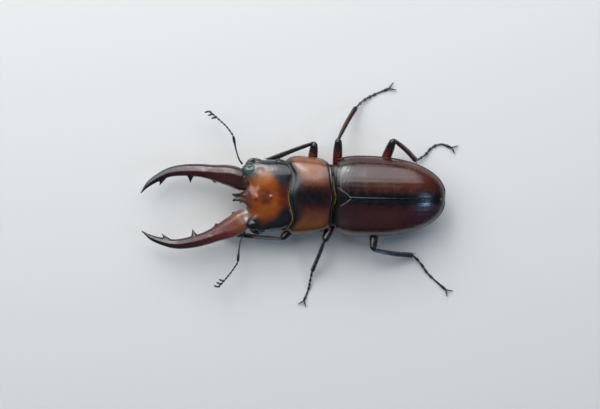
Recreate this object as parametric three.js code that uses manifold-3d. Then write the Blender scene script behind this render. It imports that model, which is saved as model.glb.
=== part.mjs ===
// A stag beetle with long jaws, standing on six legs, as a life-size still model.
// Millimetres, +Z up. The head points towards -Y and the animal's left side is +X.
// The feet stand on the plane z = 0.

import * as THREE from 'three';
import { mergeVertices } from 'three/addons/utils/BufferGeometryUtils.js';
import Module from 'manifold-3d';

const wasm = await Module();
wasm.setup();

// ---------- driving dimensions ----------

const GAP = 0.3; // free space between neighbouring plates
const DEGREE = Math.PI / 180;

const BODY = {
  edge: 6.8, // height of the widest line of the trunk
  low: 3.4, // underside of the trunk
};

const PRONOTUM = {
  front: -10.2,
  rear: -1.15,
  halfWidth: 9.0,
  top: 11.2,
  hem: 5.8, // lower rim of the side plates
};

const ELYTRA = {
  front: 0.35,
  middle: 7.0, // where the sides start to curve in
  rear: 25.4,
  halfWidth: 9.15,
  top: 12.3,
  thickness: 0.7,
  planRound: 2.25, // exponent of the rear outline seen from above
  yaw: -1.5 * DEGREE,
};

const WAIST_SEAM = 10.0; // front of the abdomen, behind the hind coxae
const ABDOMEN_TIP = 24.1;

const SCUTELLUM = { front: 0.45, tip: 3.3, halfWidth: 1.9, depth: 0.9 };

const HEAD = {
  pivot: [-0.3, -10.7],
  yaw: 3.5 * DEGREE,
  halfWidth: 8.25,
  low: 4.1,
  edge: 6.9,
  top: 10.3,
  brow: 9.2, // height of the front edge above the jaws
};

const EYE = { x: 7.75, y: -6.6, z: 7.35, radii: [0.95, 1.2, 1.15] };

const JAW = {
  baseRight: [-3.7, -9.45, 6.9],
  baseLeft: [4.95, -9.9, 6.9],
  // outward, forward and height of the middle line from the base to the tip
  line: [
    [-0.5, -1.3, 0.1],
    [0.15, 1.0, 0.0],
    [1.3, 3.0, -0.1],
    [2.68, 7.2, -0.3],
    [3.6, 10.8, -0.5],
    [4.03, 14.6, -0.8],
    [3.85, 17.6, -1.0],
    [2.9, 20.4, -1.15],
    [1.6, 22.8, -1.2],
    [-0.15, 24.7, -1.2],
  ],
  // half widths and half heights along that line
  widths: [1.7, 2.45, 2.35, 1.8, 1.52, 1.36, 1.17, 0.93, 0.65, 0.12],
  heights: [1.3, 2.0, 1.85, 1.5, 1.3, 1.15, 1.0, 0.85, 0.6, 0.12],
  steps: 14,
  sides: 10,
  swingRight: 3.2 * DEGREE, // both jaws are swung towards the left side
  swingLeft: 4.3 * DEGREE,
};

const TUBERCLES = [
  { y: -7.6, radius: 0.95, foot: 9.3, peak: 10.9 },
  { y: -4.0, radius: 0.6, foot: 9.7, peak: 10.5 },
];

const LEG_SIDES = 7;
const FOOT_SIDES = 5;

const FOOT_REST = 0.27; // middle of a foot joint that stands on the floor

const FRONT_COXA = { place: [2.9, -5.7, 3.6], radii: [1.8, 1.15, 1.2] };
const MIDDLE_COXA = { place: [2.9, 0.9, 3.5], radii: [1.6, 1.2, 1.2] };
const HIND_COXA = { place: [3.3, 10.0, 3.5], radii: [2.3, 1.1, 1.15] };

// Joint places of the six legs: hip, knee, ankle, and the foot from the ankle to the claws.
const LEGS = {
  front_right: {
    side: -1,
    coxa: FRONT_COXA,
    hip: [-3.9, -5.6, 3.3],
    knee: [-12.1, -4.75, 6.3],
    ankle: [-7.5, -15.6, 1.6],
    foot: [[-6.3, -18.1, 0.75], [-5.7, -20.2, FOOT_REST], [-5.2, -22.6, FOOT_REST]],
    digging: true,
  },
  front_left: {
    side: 1,
    coxa: FRONT_COXA,
    hip: [3.9, -6.1, 3.3],
    knee: [10.3, -12.3, 5.7],
    ankle: [9.7, -23.4, 1.6],
    foot: [[10.2, -26.1, 0.75], [10.5, -28.3, FOOT_REST], [10.9, -30.9, FOOT_REST]],
    digging: true,
  },
  middle_right: {
    side: -1,
    coxa: MIDDLE_COXA,
    hip: [-3.9, 0.4, 3.3],
    knee: [-13.0, 0.75, 7.2],
    ankle: [-20.0, 5.0, 1.6],
    foot: [[-21.6, 6.8, 0.75], [-22.9, 9.2, FOOT_REST], [-24.4, 12.9, FOOT_REST]],
    digging: false,
  },
  middle_left: {
    side: 1,
    coxa: MIDDLE_COXA,
    hip: [3.8, 0.6, 3.3],
    knee: [10.7, -2.4, 6.8],
    ankle: [18.6, -5.2, 1.6],
    foot: [[21.2, -5.7, 0.95], [23.2, -6.1, FOOT_REST], [26.0, -7.2, FOOT_REST]],
    digging: false,
  },
  hind_right: {
    side: -1,
    coxa: HIND_COXA,
    hip: [-4.4, 10.3, 3.3],
    knee: [-12.9, 13.3, 7.9],
    ankle: [-7.5, 19.0, 1.6],
    foot: [[-8.8, 21.1, 0.7], [-10.6, 22.9, FOOT_REST], [-11.3, 25.0, FOOT_REST], [-10.4, 27.5, FOOT_REST]],
    digging: false,
  },
  hind_left: {
    side: 1,
    coxa: HIND_COXA,
    hip: [4.4, 9.5, 3.3],
    knee: [12.8, 8.9, 6.2],
    ankle: [14.8, 18.5, 1.6],
    foot: [[17.0, 20.5, 0.75], [19.4, 22.2, FOOT_REST], [23.4, 26.6, FOOT_REST]],
    digging: false,
  },
};

// ---------- materials ----------

const shell = (color, roughness) => new THREE.MeshStandardMaterial({ color, roughness, metalness: 0 });

const MATERIALS = {
  amber: shell(0x8a4a18, 0.3),
  pronotum: shell(0x6d3a1e, 0.32),
  jaw: shell(0x4c1a16, 0.28),
  elytron: shell(0x3a1210, 0.25),
  underside: shell(0x2a100c, 0.4),
  black: shell(0x120c0e, 0.3),
  thigh: shell(0x3c0f0c, 0.3),
  eye: shell(0x0d0d10, 0.12),
};

// ---------- solid helpers ----------

const vec = (p) => new THREE.Vector3(...p);

/** Power that keeps the sign of its base. */
const signedPower = (value, power) => Math.sign(value) * Math.abs(value) ** power;

/** Smooth step from 0 to 1 while value runs from a to b. */
const smooth = (a, b, value) => THREE.MathUtils.smoothstep(value, a, b);

/** Reads a smooth curve through evenly spaced values at t from 0 to 1. */
function along(values, t) {
  const place = THREE.MathUtils.clamp(t, 0, 1) * (values.length - 1);
  const i = Math.min(Math.floor(place), values.length - 2);
  const before = values[Math.max(i - 1, 0)];
  const after = values[Math.min(i + 2, values.length - 1)];
  const w = place - i;
  const slopeA = (values[i + 1] - before) / 2;
  const slopeB = (after - values[i]) / 2;
  const w2 = w * w;
  const w3 = w2 * w;
  return values[i] * (2 * w3 - 3 * w2 + 1) + slopeA * (w3 - 2 * w2 + w)
    + values[i + 1] * (3 * w2 - 2 * w3) + slopeB * (w3 - w2);
}

/** Closed geometry from points and triangles: welds equal points, drops empty triangles, faces outward. */
function closed(points, triangles) {
  const raw = new THREE.BufferGeometry().setFromPoints(points);
  raw.setIndex(triangles.flat());
  const welded = mergeVertices(raw, 1e-4);
  const at = welded.getAttribute('position');
  const index = [...welded.getIndex().array];
  const kept = [];
  let volume = 0;
  const [a, b, c] = [new THREE.Vector3(), new THREE.Vector3(), new THREE.Vector3()];
  for (let i = 0; i < index.length; i += 3) {
    const [p, q, r] = index.slice(i, i + 3);
    if (p === q || q === r || r === p) continue;
    kept.push([p, q, r]);
    a.fromBufferAttribute(at, p);
    b.fromBufferAttribute(at, q);
    c.fromBufferAttribute(at, r);
    volume += a.dot(b.cross(c));
  }
  welded.setIndex(kept.map((t) => (volume > 0 ? t : [t[0], t[2], t[1]])).flat());
  return welded;
}

/** Closed solid through a row of equal rings, with a fan on each end about a given or middle point. */
function loft(rings, ends = []) {
  const count = rings[0].length;
  const points = rings.flat();
  const triangles = [];
  for (let i = 0; i + 1 < rings.length; i += 1) {
    for (let j = 0; j < count; j += 1) {
      const a = i * count + j;
      const b = i * count + ((j + 1) % count);
      triangles.push([a, b, b + count], [a, b + count, a + count]);
    }
  }
  [0, rings.length - 1].forEach((i, end) => {
    const centre = new THREE.Vector3();
    rings[i].forEach((p) => centre.addScaledVector(p, 1 / count));
    points.push(ends[end] ?? centre);
    const middle = points.length - 1;
    for (let j = 0; j < count; j += 1) {
      const a = i * count + j;
      const b = i * count + ((j + 1) % count);
      triangles.push(i === 0 ? [middle, b, a] : [middle, a, b]);
    }
  });
  return closed(points, triangles);
}

/**
 * Solid limb along a path. Each entry of sizes is [half width, half height], at even steps along the path,
 * and sides is the number of corners of a ring.
 */
function limb(path, sizes, sides, grow = 0, up = new THREE.Vector3(0, 0, 1)) {
  const curve = new THREE.CatmullRomCurve3(path.map(vec), false, 'centripetal');
  const last = sizes.length - 1;
  const rings = sizes.map(([halfWidth, halfHeight], i) => {
    const t = i / last;
    const centre = curve.getPointAt(t);
    const forward = curve.getTangentAt(t);
    if (i === 0) centre.addScaledVector(forward, -grow);
    if (i === last) centre.addScaledVector(forward, grow);
    const side = new THREE.Vector3().crossVectors(up, forward).normalize();
    const rise = new THREE.Vector3().crossVectors(forward, side);
    return Array.from({ length: sides }, (_, j) => {
      const angle = (2 * Math.PI * (j + 0.5)) / sides;
      return centre.clone()
        .addScaledVector(side, (halfWidth + grow) * Math.cos(angle))
        .addScaledVector(rise, (halfHeight + grow) * Math.sin(angle));
    });
  });
  return loft(rings);
}

/** Pointed cone from a base centre to a tip. */
const spike = (base, tip, radius, sides = 4) => limb([base, tip], [[radius, radius], [0.06, 0.06]], sides);

/** Egg shape at a place, with three half axes. */
function egg(centre, radii, across = 9, down = 6, grow = 0) {
  const geometry = new THREE.SphereGeometry(1, across, down);
  geometry.scale(...radii.map((r) => r + grow));
  geometry.translate(...centre);
  return geometry;
}

function toSolid(geometry) {
  const bare = geometry.clone();
  bare.deleteAttribute('normal');
  bare.deleteAttribute('uv');
  const welded = mergeVertices(bare, 1e-4);
  return new wasm.Manifold(new wasm.Mesh({
    numProp: 3,
    vertProperties: new Float32Array(welded.getAttribute('position').array),
    triVerts: new Uint32Array(welded.getIndex().array),
  }));
}

function toGeometry(solid) {
  const { vertProperties, triVerts } = solid.getMesh();
  const geometry = new THREE.BufferGeometry();
  geometry.setAttribute('position', new THREE.BufferAttribute(vertProperties, 3));
  geometry.setIndex(new THREE.BufferAttribute(triVerts, 1));
  return geometry;
}

/** Union of solids. */
function joined(first, ...rest) {
  return toGeometry(rest.reduce((sum, g) => sum.add(toSolid(g)), toSolid(first)));
}

/** The body less every tool. */
function cut(body, ...tools) {
  return toGeometry(tools.reduce((rest, g) => rest.subtract(toSolid(g)), toSolid(body)));
}

function piece(name, geometry, material) {
  const mesh = new THREE.Mesh(geometry, material);
  mesh.name = name;
  return mesh;
}

const mirrored = (p, side) => [side * p[0], p[1], p[2]];

// ---------- trunk plates ----------

/**
 * Plate whose cross-section is a rounded lens. Each station has s (0 front, 1 rear) and its halfWidth,
 * low, edge and top.
 * front(x) and rear(x) are the margins seen from above.
 */
function trunkPlate({ stations, corners, front, rear, roundTop, roundLow }) {
  const cornerAt = ({ s, halfWidth, low, edge, top }, j) => {
    const angle = (2 * Math.PI * j) / corners;
    const upper = Math.sin(angle) >= 0;
    const power = 2 / (upper ? roundTop : roundLow);
    const x = halfWidth * signedPower(Math.cos(angle), power);
    const z = edge + (upper ? top - edge : edge - low) * signedPower(Math.sin(angle), power);
    return new THREE.Vector3(x, THREE.MathUtils.lerp(front(x), rear(x), s), z);
  };
  const rings = stations.map((station) => Array.from({ length: corners }, (_, j) => cornerAt(station, j)));
  const heart = ({ edge, top }, y) => new THREE.Vector3(0, y, (edge + top) / 2);
  return loft(rings, [heart(stations[0], front(0)), heart(stations[stations.length - 1], rear(0))]);
}

/** Front margin of the pronotum: a middle lobe, a hollow on each side, corners that reach forward. */
function pronotumFront(x) {
  const side = Math.abs(x);
  const lobe = PRONOTUM.front + 0.05 - 0.45 * Math.cos((Math.PI * Math.min(side, 5)) / 5);
  return lobe - 1.5 * smooth(5, 8.4, side);
}

/** Rear margin of the pronotum: nearly straight, with a small middle lobe and rounded corners. */
function pronotumRear(x) {
  const side = Math.abs(x);
  const lobe = 0.4 * Math.exp(-side * side / 3);
  const corner = 0.9 * smooth(6.5, 8.6, side);
  return PRONOTUM.rear + 0.4 - 0.012 * side * side + lobe - corner;
}

function pronotumStations(inset, low, top) {
  return [0, 0.07, 0.25, 0.5, 0.75, 0.92, 1].map((s) => {
    const rim = 1 - (1 - smooth(0, 0.12, s)) * 0.045 - smooth(0.9, 1, s) * 0.05;
    const sides = along([8.5, 8.95, 9.0, 8.85, 8.6, 8.1], s) / 9.0;
    return {
      s,
      halfWidth: (PRONOTUM.halfWidth - inset) * sides * rim,
      low,
      edge: BODY.edge,
      top: BODY.edge + (top - BODY.edge) * along([0.84, 0.96, 1, 1, 0.97, 0.92], s) * rim,
    };
  });
}

function makePronotum() {
  return trunkPlate({
    stations: pronotumStations(0, PRONOTUM.hem, PRONOTUM.top),
    corners: 28,
    front: pronotumFront,
    rear: pronotumRear,
    roundTop: 2.5,
    roundLow: 6,
  });
}

function makeProsternum(tools) {
  const top = PRONOTUM.hem - GAP;
  const plate = trunkPlate({
    stations: [0, 0.35, 0.7, 1].map((s) => ({
      s,
      halfWidth: along([6.9, 7.7, 7.6, 6.8], s),
      low: BODY.low + along([0.5, 0, 0, 0.4], s),
      edge: top - 0.2,
      top,
    })),
    corners: 14,
    front: (x) => pronotumFront(x) + 2 * GAP,
    rear: () => PRONOTUM.rear - 0.3,
    roundTop: 7,
    roundLow: 2.1,
  });
  return cut(plate, ...tools);
}

/** The narrow black waist between the pronotum and the elytra. */
function makeWaist(tools) {
  const waist = trunkPlate({
    stations: [0, 1].map((s) => ({ s, halfWidth: 7.3, low: BODY.low + 0.3, edge: BODY.edge, top: 10.9 })),
    corners: 20,
    front: (x) => pronotumRear(x) + GAP,
    rear: () => ELYTRA.front - GAP,
    roundTop: 2.3,
    roundLow: 2.1,
  });
  return cut(waist, ...tools);
}

// ---------- elytra, scutellum, rear body ----------

/** Point of the elytra's dome: turn runs 0 to 1 from front to tip, v from the seam to the side edge. */
function domePoint(turn, v, inset) {
  const { front, middle, rear, halfWidth, top, planRound } = ELYTRA;
  const length = rear - inset - middle;
  const straight = 0.3;
  let y;
  let taper;
  if (turn < straight) {
    const t = turn / straight;
    y = THREE.MathUtils.lerp(front, middle, t);
    taper = 0.9 + 0.1 * (1 - (1 - Math.min(t / 0.8, 1)) ** 2);
  } else {
    const angle = ((turn - straight) / (1 - straight)) * (Math.PI / 2);
    y = middle + length * Math.sin(angle) ** (2 / planRound);
    taper = Math.cos(angle) ** (2 / planRound);
  }
  const fall = y <= middle ? 0 : (y - middle) / length;
  const shoulder = 0.93 + 0.07 * (y - front) / (middle - front);
  const dome = y <= middle ? shoulder : (1 - Math.min(fall, 1) ** 2.5) ** 0.55;
  const across = (v * Math.PI) / 2;
  const x = (halfWidth - inset) * taper * Math.sin(across) ** (2 / 2.35);
  const lift = (top - BODY.edge - inset) * dome;
  return new THREE.Vector3(x, y, BODY.edge + lift * Math.cos(across) ** (2 / 2.35));
}

function makeElytron(side, scutellumTool) {
  const rows = 11;
  const columns = 7;
  const points = [];
  const node = (layer, i, j) => (layer * (rows + 1) + i) * (columns + 1) + j;
  [0, ELYTRA.thickness].forEach((inset) => {
    for (let i = 0; i <= rows; i += 1) {
      for (let j = 0; j <= columns; j += 1) {
        const p = domePoint(i / rows, j / columns, inset);
        p.x = side * (GAP / 2 + p.x);
        points.push(p);
      }
    }
  });
  const triangles = [];
  const quad = (a, b, c, d) => triangles.push([a, b, c], [a, c, d]);
  for (let i = 0; i < rows; i += 1) {
    for (let j = 0; j < columns; j += 1) {
      quad(node(0, i, j), node(0, i + 1, j), node(0, i + 1, j + 1), node(0, i, j + 1));
      quad(node(1, i, j), node(1, i, j + 1), node(1, i + 1, j + 1), node(1, i + 1, j));
    }
    quad(node(0, i, 0), node(1, i, 0), node(1, i + 1, 0), node(0, i + 1, 0));
    quad(node(0, i, columns), node(0, i + 1, columns), node(1, i + 1, columns), node(1, i, columns));
  }
  for (let j = 0; j < columns; j += 1) {
    quad(node(0, 0, j), node(0, 0, j + 1), node(1, 0, j + 1), node(1, 0, j));
  }
  return cut(closed(points, triangles), scutellumTool);
}

function scutellumOutline(grow) {
  const { front, tip, halfWidth } = SCUTELLUM;
  const outline = new THREE.Shape();
  outline.moveTo(-halfWidth - grow, front - grow);
  outline.lineTo(halfWidth + grow, front - grow);
  outline.quadraticCurveTo(halfWidth * 0.7 + grow, front + 1.6 + grow, 0, tip + 1.6 * grow);
  outline.quadraticCurveTo(-halfWidth * 0.7 - grow, front + 1.6 + grow, -halfWidth - grow, front - grow);
  return outline;
}

/** Shield-shaped plate between the shoulders of the elytra. */
function makeScutellum(grow) {
  const depth = SCUTELLUM.depth + 2 * grow;
  const geometry = new THREE.ExtrudeGeometry(scutellumOutline(grow), {
    depth: grow > 0 ? depth + 2 : depth,
    bevelEnabled: false,
    curveSegments: 5,
  });
  geometry.translate(0, 0, ELYTRA.top - 0.55 - depth);
  return geometry;
}

function rearBodyStations(from, to, count, segments) {
  return Array.from({ length: count }, (_, i) => {
    const s = i / (count - 1);
    const y = THREE.MathUtils.lerp(from, to, s);
    const { middle, rear, halfWidth, top, thickness, planRound } = ELYTRA;
    const reach = Math.max(0, (y - middle) / (rear - thickness - GAP - middle));
    const taper = (1 - Math.min(reach, 0.999) ** planRound) ** (1 / planRound);
    const dome = (1 - Math.min(reach, 0.999) ** 2.5) ** 0.55;
    const inset = thickness + 2 * GAP;
    const step = segments ? 0.16 * ((s * segments) % 1) : 0;
    return {
      s,
      halfWidth: (halfWidth - inset) * taper * 0.99,
      low: BODY.edge - (BODY.edge - BODY.low) * (0.35 + 0.65 * taper) - step,
      edge: BODY.edge - 0.1,
      top: BODY.edge + Math.max((top - BODY.edge - inset - 0.25) * dome * 0.97, 0.3),
    };
  });
}

function makeMetathorax(tools) {
  const plate = trunkPlate({
    stations: rearBodyStations(ELYTRA.front + 0.35, WAIST_SEAM - GAP, 4, 0),
    corners: 16,
    front: () => ELYTRA.front + 0.35,
    rear: () => WAIST_SEAM - GAP,
    roundTop: 2.35,
    roundLow: 2.0,
  });
  return cut(plate, ...tools);
}

function makeAbdomen(tools) {
  const plate = trunkPlate({
    stations: rearBodyStations(WAIST_SEAM, ABDOMEN_TIP, 11, 5),
    corners: 16,
    front: () => WAIST_SEAM,
    rear: () => ABDOMEN_TIP,
    roundTop: 2.35,
    roundLow: 2.0,
  });
  return cut(plate, ...tools);
}

// ---------- head ----------

/** Front margin of the head from its midline outward, as a distance ahead of the neck. */
function headFront(x) {
  const side = Math.abs(x);
  const socket = 0.85 * smooth(1.2, 3.0, side) - 1.5 * smooth(3.4, 6.2, side);
  return -(9.75 - socket - 2.2 * smooth(6.9, 8.3, side));
}

/** Rear margin of the head, which follows the pronotum's front margin. */
function headRear(x) {
  const [pivotX, pivotY] = HEAD.pivot;
  return pronotumFront(x + pivotX) - pivotY - GAP - 0.1 - x * Math.sin(HEAD.yaw);
}

function makeSkull() {
  const stations = [0, 0.07, 0.2, 0.5, 0.8, 1].map((s) => {
    const rim = 1 - 0.12 * (1 - smooth(0, 0.12, s)) - 0.05 * smooth(0.9, 1, s);
    return {
      s,
      halfWidth: HEAD.halfWidth * along([0.96, 1, 1, 0.985, 0.975, 0.94], s),
      low: HEAD.low + along([0.9, 0.35, 0, 0, 0.1, 0.5], s),
      edge: HEAD.edge,
      top: HEAD.edge + (HEAD.top - HEAD.edge) * along([0.66, 0.86, 0.97, 1, 1, 0.95], s) * rim,
    };
  });
  return trunkPlate({
    stations,
    corners: 24,
    front: headFront,
    rear: headRear,
    roundTop: 3.1,
    roundLow: 2.6,
  });
}

/** Two-pronged plate that reaches out between the jaws. */
function makeFork() {
  const outline = new THREE.Shape();
  outline.moveTo(-2.4, -9.0);
  outline.quadraticCurveTo(-0.75, -9.9, -0.62, -11.4);
  outline.lineTo(-0.95, -13.0);
  outline.quadraticCurveTo(-0.3, -12.9, 0, -12.2);
  outline.quadraticCurveTo(0.3, -12.9, 0.95, -13.0);
  outline.lineTo(0.62, -11.4);
  outline.quadraticCurveTo(0.75, -9.9, 2.4, -9.0);
  outline.lineTo(0, -8.2);
  outline.closePath();
  const geometry = new THREE.ExtrudeGeometry(outline, { depth: 1.1, bevelEnabled: false, curveSegments: 4 });
  geometry.translate(0, 0, HEAD.edge - 0.6);
  return geometry;
}

function makeHead(tools) {
  const bumps = TUBERCLES.map(({ y, radius, foot, peak }) => (
    spike([0, y, foot], [0, y - 0.15, peak], radius, 6)
  ));
  const corners = [-1, 1].map((side) => egg([side * 6.35, -8.5, HEAD.brow - 0.55], [1.75, 1.5, 0.9], 8, 5));
  const canthi = [-1, 1].map((side) => limb(
    [[side * 7.3, -9.2, 7.5], [side * 8.25, -8.0, 7.4], [side * 8.4, -6.9, 7.3]],
    [[0.5, 0.35], [0.6, 0.35], [0.3, 0.25]],
    6,
  ));
  return cut(joined(makeSkull(), makeFork(), ...bumps, ...corners, ...canthi), ...tools);
}

// ---------- jaws ----------

function jawPath() {
  return JAW.line.map(([outward, forward, height]) => [outward, -forward, height]);
}

function jawSizes(grow, steps) {
  return Array.from({ length: steps }, (_, i) => {
    const t = i / (steps - 1);
    return [along(JAW.widths, t) + grow, along(JAW.heights, t) + grow];
  });
}

/** Jaw teeth as [root, tip, root radius] in the jaw's own frame. */
const JAW_TEETH = [
  [[2.5, -19.0, -1.1], [1.15, -20.2, -1.1], 0.5],
  [[2.9, -12.7, -0.7], [0.95, -12.9, -0.75], 0.6],
  [[1.4, -7.3, -0.3], [0.3, -7.3, -0.35], 0.55],
];

function makeJaw(side) {
  const beam = limb(jawPath().map((p) => mirrored(p, side)), jawSizes(0, JAW.steps), JAW.sides);
  const teeth = JAW_TEETH.map(([root, tip, radius]) => (
    spike(mirrored(root, side), mirrored(tip, side), radius)
  ));
  return joined(beam, ...teeth);
}

/** A jaw's shape with free space round it, for the socket in the head. */
function jawSocket(side) {
  return limb(jawPath().map((p) => mirrored(p, side)), jawSizes(1.5 * GAP, 8), 8);
}

/** Places a jaw geometry in the head's frame. */
function seatJaw(geometry, side) {
  geometry.rotateZ(side > 0 ? JAW.swingLeft : JAW.swingRight);
  geometry.translate(...(side > 0 ? JAW.baseLeft : JAW.baseRight));
  return geometry;
}

// ---------- feelers and palps ----------

const FEELERS = {
  right: {
    scape: [[-7.45, -10.15, 6.1], [-8.6, -10.8, 6.6], [-10.6, -11.3, 7.1], [-14.3, -11.8, 7.4]],
    funicle: [[-14.65, -12.1, 7.3], [-16.5, -13.3, 6.9], [-18.2, -15.0, 6.2]],
    club: [[-18.4, -15.3, 6.1], [-20.2, -17.1, 5.4]],
  },
  left: {
    scape: [[8.0, -10.6, 6.1], [9.8, -11.6, 6.4], [11.9, -12.2, 6.7], [15.1, -12.7, 6.9]],
    funicle: [[15.45, -12.95, 6.8], [17.4, -14.4, 6.4], [19.1, -15.9, 5.8]],
    club: [[19.3, -16.1, 5.7], [21.1, -17.8, 5.1]],
  },
};

function makeScape(path) {
  const sizes = [0.3, 0.28, 0.27, 0.28, 0.3, 0.38, 0.3].map((r) => [r, r]);
  return limb(path, sizes, FOOT_SIDES);
}

/** Six bead-like joints, then a comb of three leaves on the last ones. */
function makeFlagellum({ funicle, club }) {
  const beads = [0.28, 0.36, 0.28, 0.36, 0.28, 0.36, 0.28, 0.36, 0.36, 0.3].map((r) => [r, r]);
  const stem = limb([...funicle, ...club.slice(1)], beads, FOOT_SIDES);
  const start = vec(club[0]);
  const forward = vec(club[1]).sub(start);
  const across = new THREE.Vector3(-Math.sign(start.x) * 0.2, -0.85, -0.5).normalize();
  const leaves = [0.1, 0.5, 0.9].map((t) => {
    const root = start.clone().addScaledVector(forward, t);
    const tip = root.clone().addScaledVector(across, 1.35);
    return limb([root.toArray(), tip.toArray()], [[0.28, 0.3], [0.4, 0.28], [0.26, 0.26]], 4);
  });
  return joined(stem, ...leaves);
}

const PALPS = {
  maxillary: [[3.0, -8.6, 3.9], [3.7, -10.2, 3.6], [4.0, -11.9, 3.7], [4.0, -13.6, 4.0]],
  labial: [[0.9, -8.9, 3.9], [1.3, -10.2, 3.6], [1.5, -11.6, 3.8]],
};

function makePalp(path, side) {
  const sizes = [0.3, 0.28, 0.36, 0.29, 0.38, 0.3].map((r) => [r, r]);
  return limb(path.map((p) => mirrored(p, side)), sizes, FOOT_SIDES);
}

// ---------- legs ----------

function makeFemur({ hip, knee }, grow = 0) {
  const profile = [0.5, 0.98, 1.1, 0.92, 0.55];
  return limb([hip, knee], profile.map((r) => [r, r * 0.85]), LEG_SIDES, grow);
}

function tibiaSpines({ knee, ankle, digging }) {
  const start = vec(knee);
  const axis = vec(ankle).sub(start);
  const edge = new THREE.Vector3(Math.sign(knee[0]), -0.3, 0.55);
  const outward = edge.cross(axis).cross(axis).normalize().negate();
  const across = axis.clone().cross(outward).normalize();
  const at = (t, out, side = 0) => start.clone()
    .addScaledVector(axis, t)
    .addScaledVector(outward, out)
    .addScaledVector(across, side)
    .toArray();
  const teeth = digging ? [0.48, 0.64, 0.8] : [0.56];
  const spines = teeth.map((t, i) => spike(at(t, 0.2), at(t + 0.06, digging ? 0.8 + 0.12 * i : 0.95), 0.3));
  if (digging) spines.push(spike(at(0.94, 0.25), at(1.05, 1.3), 0.38));
  spines.push(spike(at(0.95, -0.1, 0.2), at(1.07, -0.6, 0.45), 0.28));
  spines.push(spike(at(0.95, -0.1, -0.2), at(1.07, -0.5, -0.45), 0.28));
  return spines;
}

function makeTibia(leg, grow = 0) {
  const { knee, ankle, digging } = leg;
  const widths = digging ? [0.42, 0.52, 0.58, 0.7, 0.78] : [0.4, 0.47, 0.49, 0.54, 0.6];
  const beam = limb([knee, ankle], widths.map((r) => [r * 0.85, r]), LEG_SIDES, grow);
  if (grow > 0) return beam;
  return cut(joined(beam, ...tibiaSpines(leg)), makeFemur(leg, GAP));
}

const UNDER_FLOOR = new THREE.BoxGeometry(120, 120, 10).translate(0, 0, -5);

/** Five foot joints and two hooked claws, with flats where the foot meets the floor. */
function makeTarsus(leg) {
  const { knee, ankle, foot } = leg;
  const toe = vec(foot[foot.length - 1]);
  const ahead = toe.clone().sub(vec(foot[foot.length - 2])).setZ(0).normalize();
  const across = new THREE.Vector3(-ahead.y, ahead.x, 0);
  const start = vec(ankle).addScaledVector(vec(ankle).sub(vec(knee)).normalize(), -0.3).toArray();
  const beads = [0.26, 0.42, 0.3, 0.44, 0.3, 0.44, 0.3, 0.33, FOOT_REST];
  const stem = limb([start, ...foot], beads.map((r) => [r * 0.9, r]), FOOT_SIDES);
  const claws = [-1, 1].map((side) => {
    const point = (forward, out, height) => toe.clone().addScaledVector(ahead, forward)
      .addScaledVector(across, side * out).setZ(height).toArray();
    return limb(
      [point(-0.15, 0.1, 0.45), point(0.6, 0.65, 0.62), point(1.35, 1.0, 0.1)],
      [[0.28, 0.28], [0.27, 0.27], [0.1, 0.1]],
      4,
    );
  });
  return cut(joined(stem, ...claws), makeTibia(leg, GAP), UNDER_FLOOR);
}

// ---------- assembly ----------

const beetle = new THREE.Group();
const headGroup = new THREE.Group();
const rearGroup = new THREE.Group();
headGroup.position.set(HEAD.pivot[0], HEAD.pivot[1], 0);
headGroup.rotation.z = HEAD.yaw;
rearGroup.rotation.z = ELYTRA.yaw;
rearGroup.updateMatrix();
beetle.add(headGroup, rearGroup);

const coxaShape = ({ coxa, side }, grow) => egg(mirrored(coxa.place, side), coxa.radii, 8, 5, grow);
const hipTools = Object.values(LEGS).flatMap((leg) => [coxaShape(leg, GAP), makeFemur(leg, GAP)]);
const toRear = rearGroup.matrix.clone().invert();
const rearTools = hipTools.map((tool) => tool.clone().applyMatrix4(toRear));

const eyeTools = [-1, 1].map((side) => egg(mirrored([EYE.x, EYE.y, EYE.z], side), EYE.radii, 9, 6, 0.2));
const jawTools = [-1, 1].map((side) => seatJaw(jawSocket(side), side));
headGroup.add(piece('head', makeHead([...eyeTools, ...jawTools]), MATERIALS.amber));

[['right', -1], ['left', 1]].forEach(([name, side]) => {
  headGroup.add(
    piece(`eye_${name}`, egg(mirrored([EYE.x, EYE.y, EYE.z], side), EYE.radii), MATERIALS.eye),
    piece(`mandible_${name}`, seatJaw(makeJaw(side), side), MATERIALS.jaw),
    piece(`antenna_scape_${name}`, makeScape(FEELERS[name].scape), MATERIALS.black),
    piece(`antenna_club_${name}`, makeFlagellum(FEELERS[name]), MATERIALS.black),
    piece(`maxillary_palp_${name}`, makePalp(PALPS.maxillary, side), MATERIALS.black),
    piece(`labial_palp_${name}`, makePalp(PALPS.labial, side), MATERIALS.black),
  );
});

beetle.add(
  piece('pronotum', makePronotum(), MATERIALS.pronotum),
  piece('prosternum', makeProsternum(hipTools), MATERIALS.underside),
  piece('mesothorax', makeWaist(hipTools), MATERIALS.black),
);

rearGroup.add(
  piece('scutellum', makeScutellum(0), MATERIALS.black),
  piece('elytron_right', makeElytron(-1, makeScutellum(GAP)), MATERIALS.elytron),
  piece('elytron_left', makeElytron(1, makeScutellum(GAP)), MATERIALS.elytron),
  piece('metathorax', makeMetathorax([...rearTools, makeScutellum(GAP)]), MATERIALS.underside),
  piece('abdomen', makeAbdomen(rearTools), MATERIALS.underside),
);

Object.entries(LEGS).forEach(([name, leg]) => {
  beetle.add(
    piece(`coxa_${name}`, coxaShape(leg, 0), MATERIALS.underside),
    piece(`femur_${name}`, cut(makeFemur(leg), coxaShape(leg, GAP)), MATERIALS.thigh),
    piece(`tibia_${name}`, makeTibia(leg), MATERIALS.black),
    piece(`tarsus_${name}`, makeTarsus(leg), MATERIALS.black),
  );
});

// The origin is the middle of the whole beetle on the floor.
const box = new THREE.Box3().setFromObject(beetle, true);
const middle = box.getCenter(new THREE.Vector3());
beetle.position.set(-middle.x, -middle.y, -box.min.z);

export default beetle;
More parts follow.
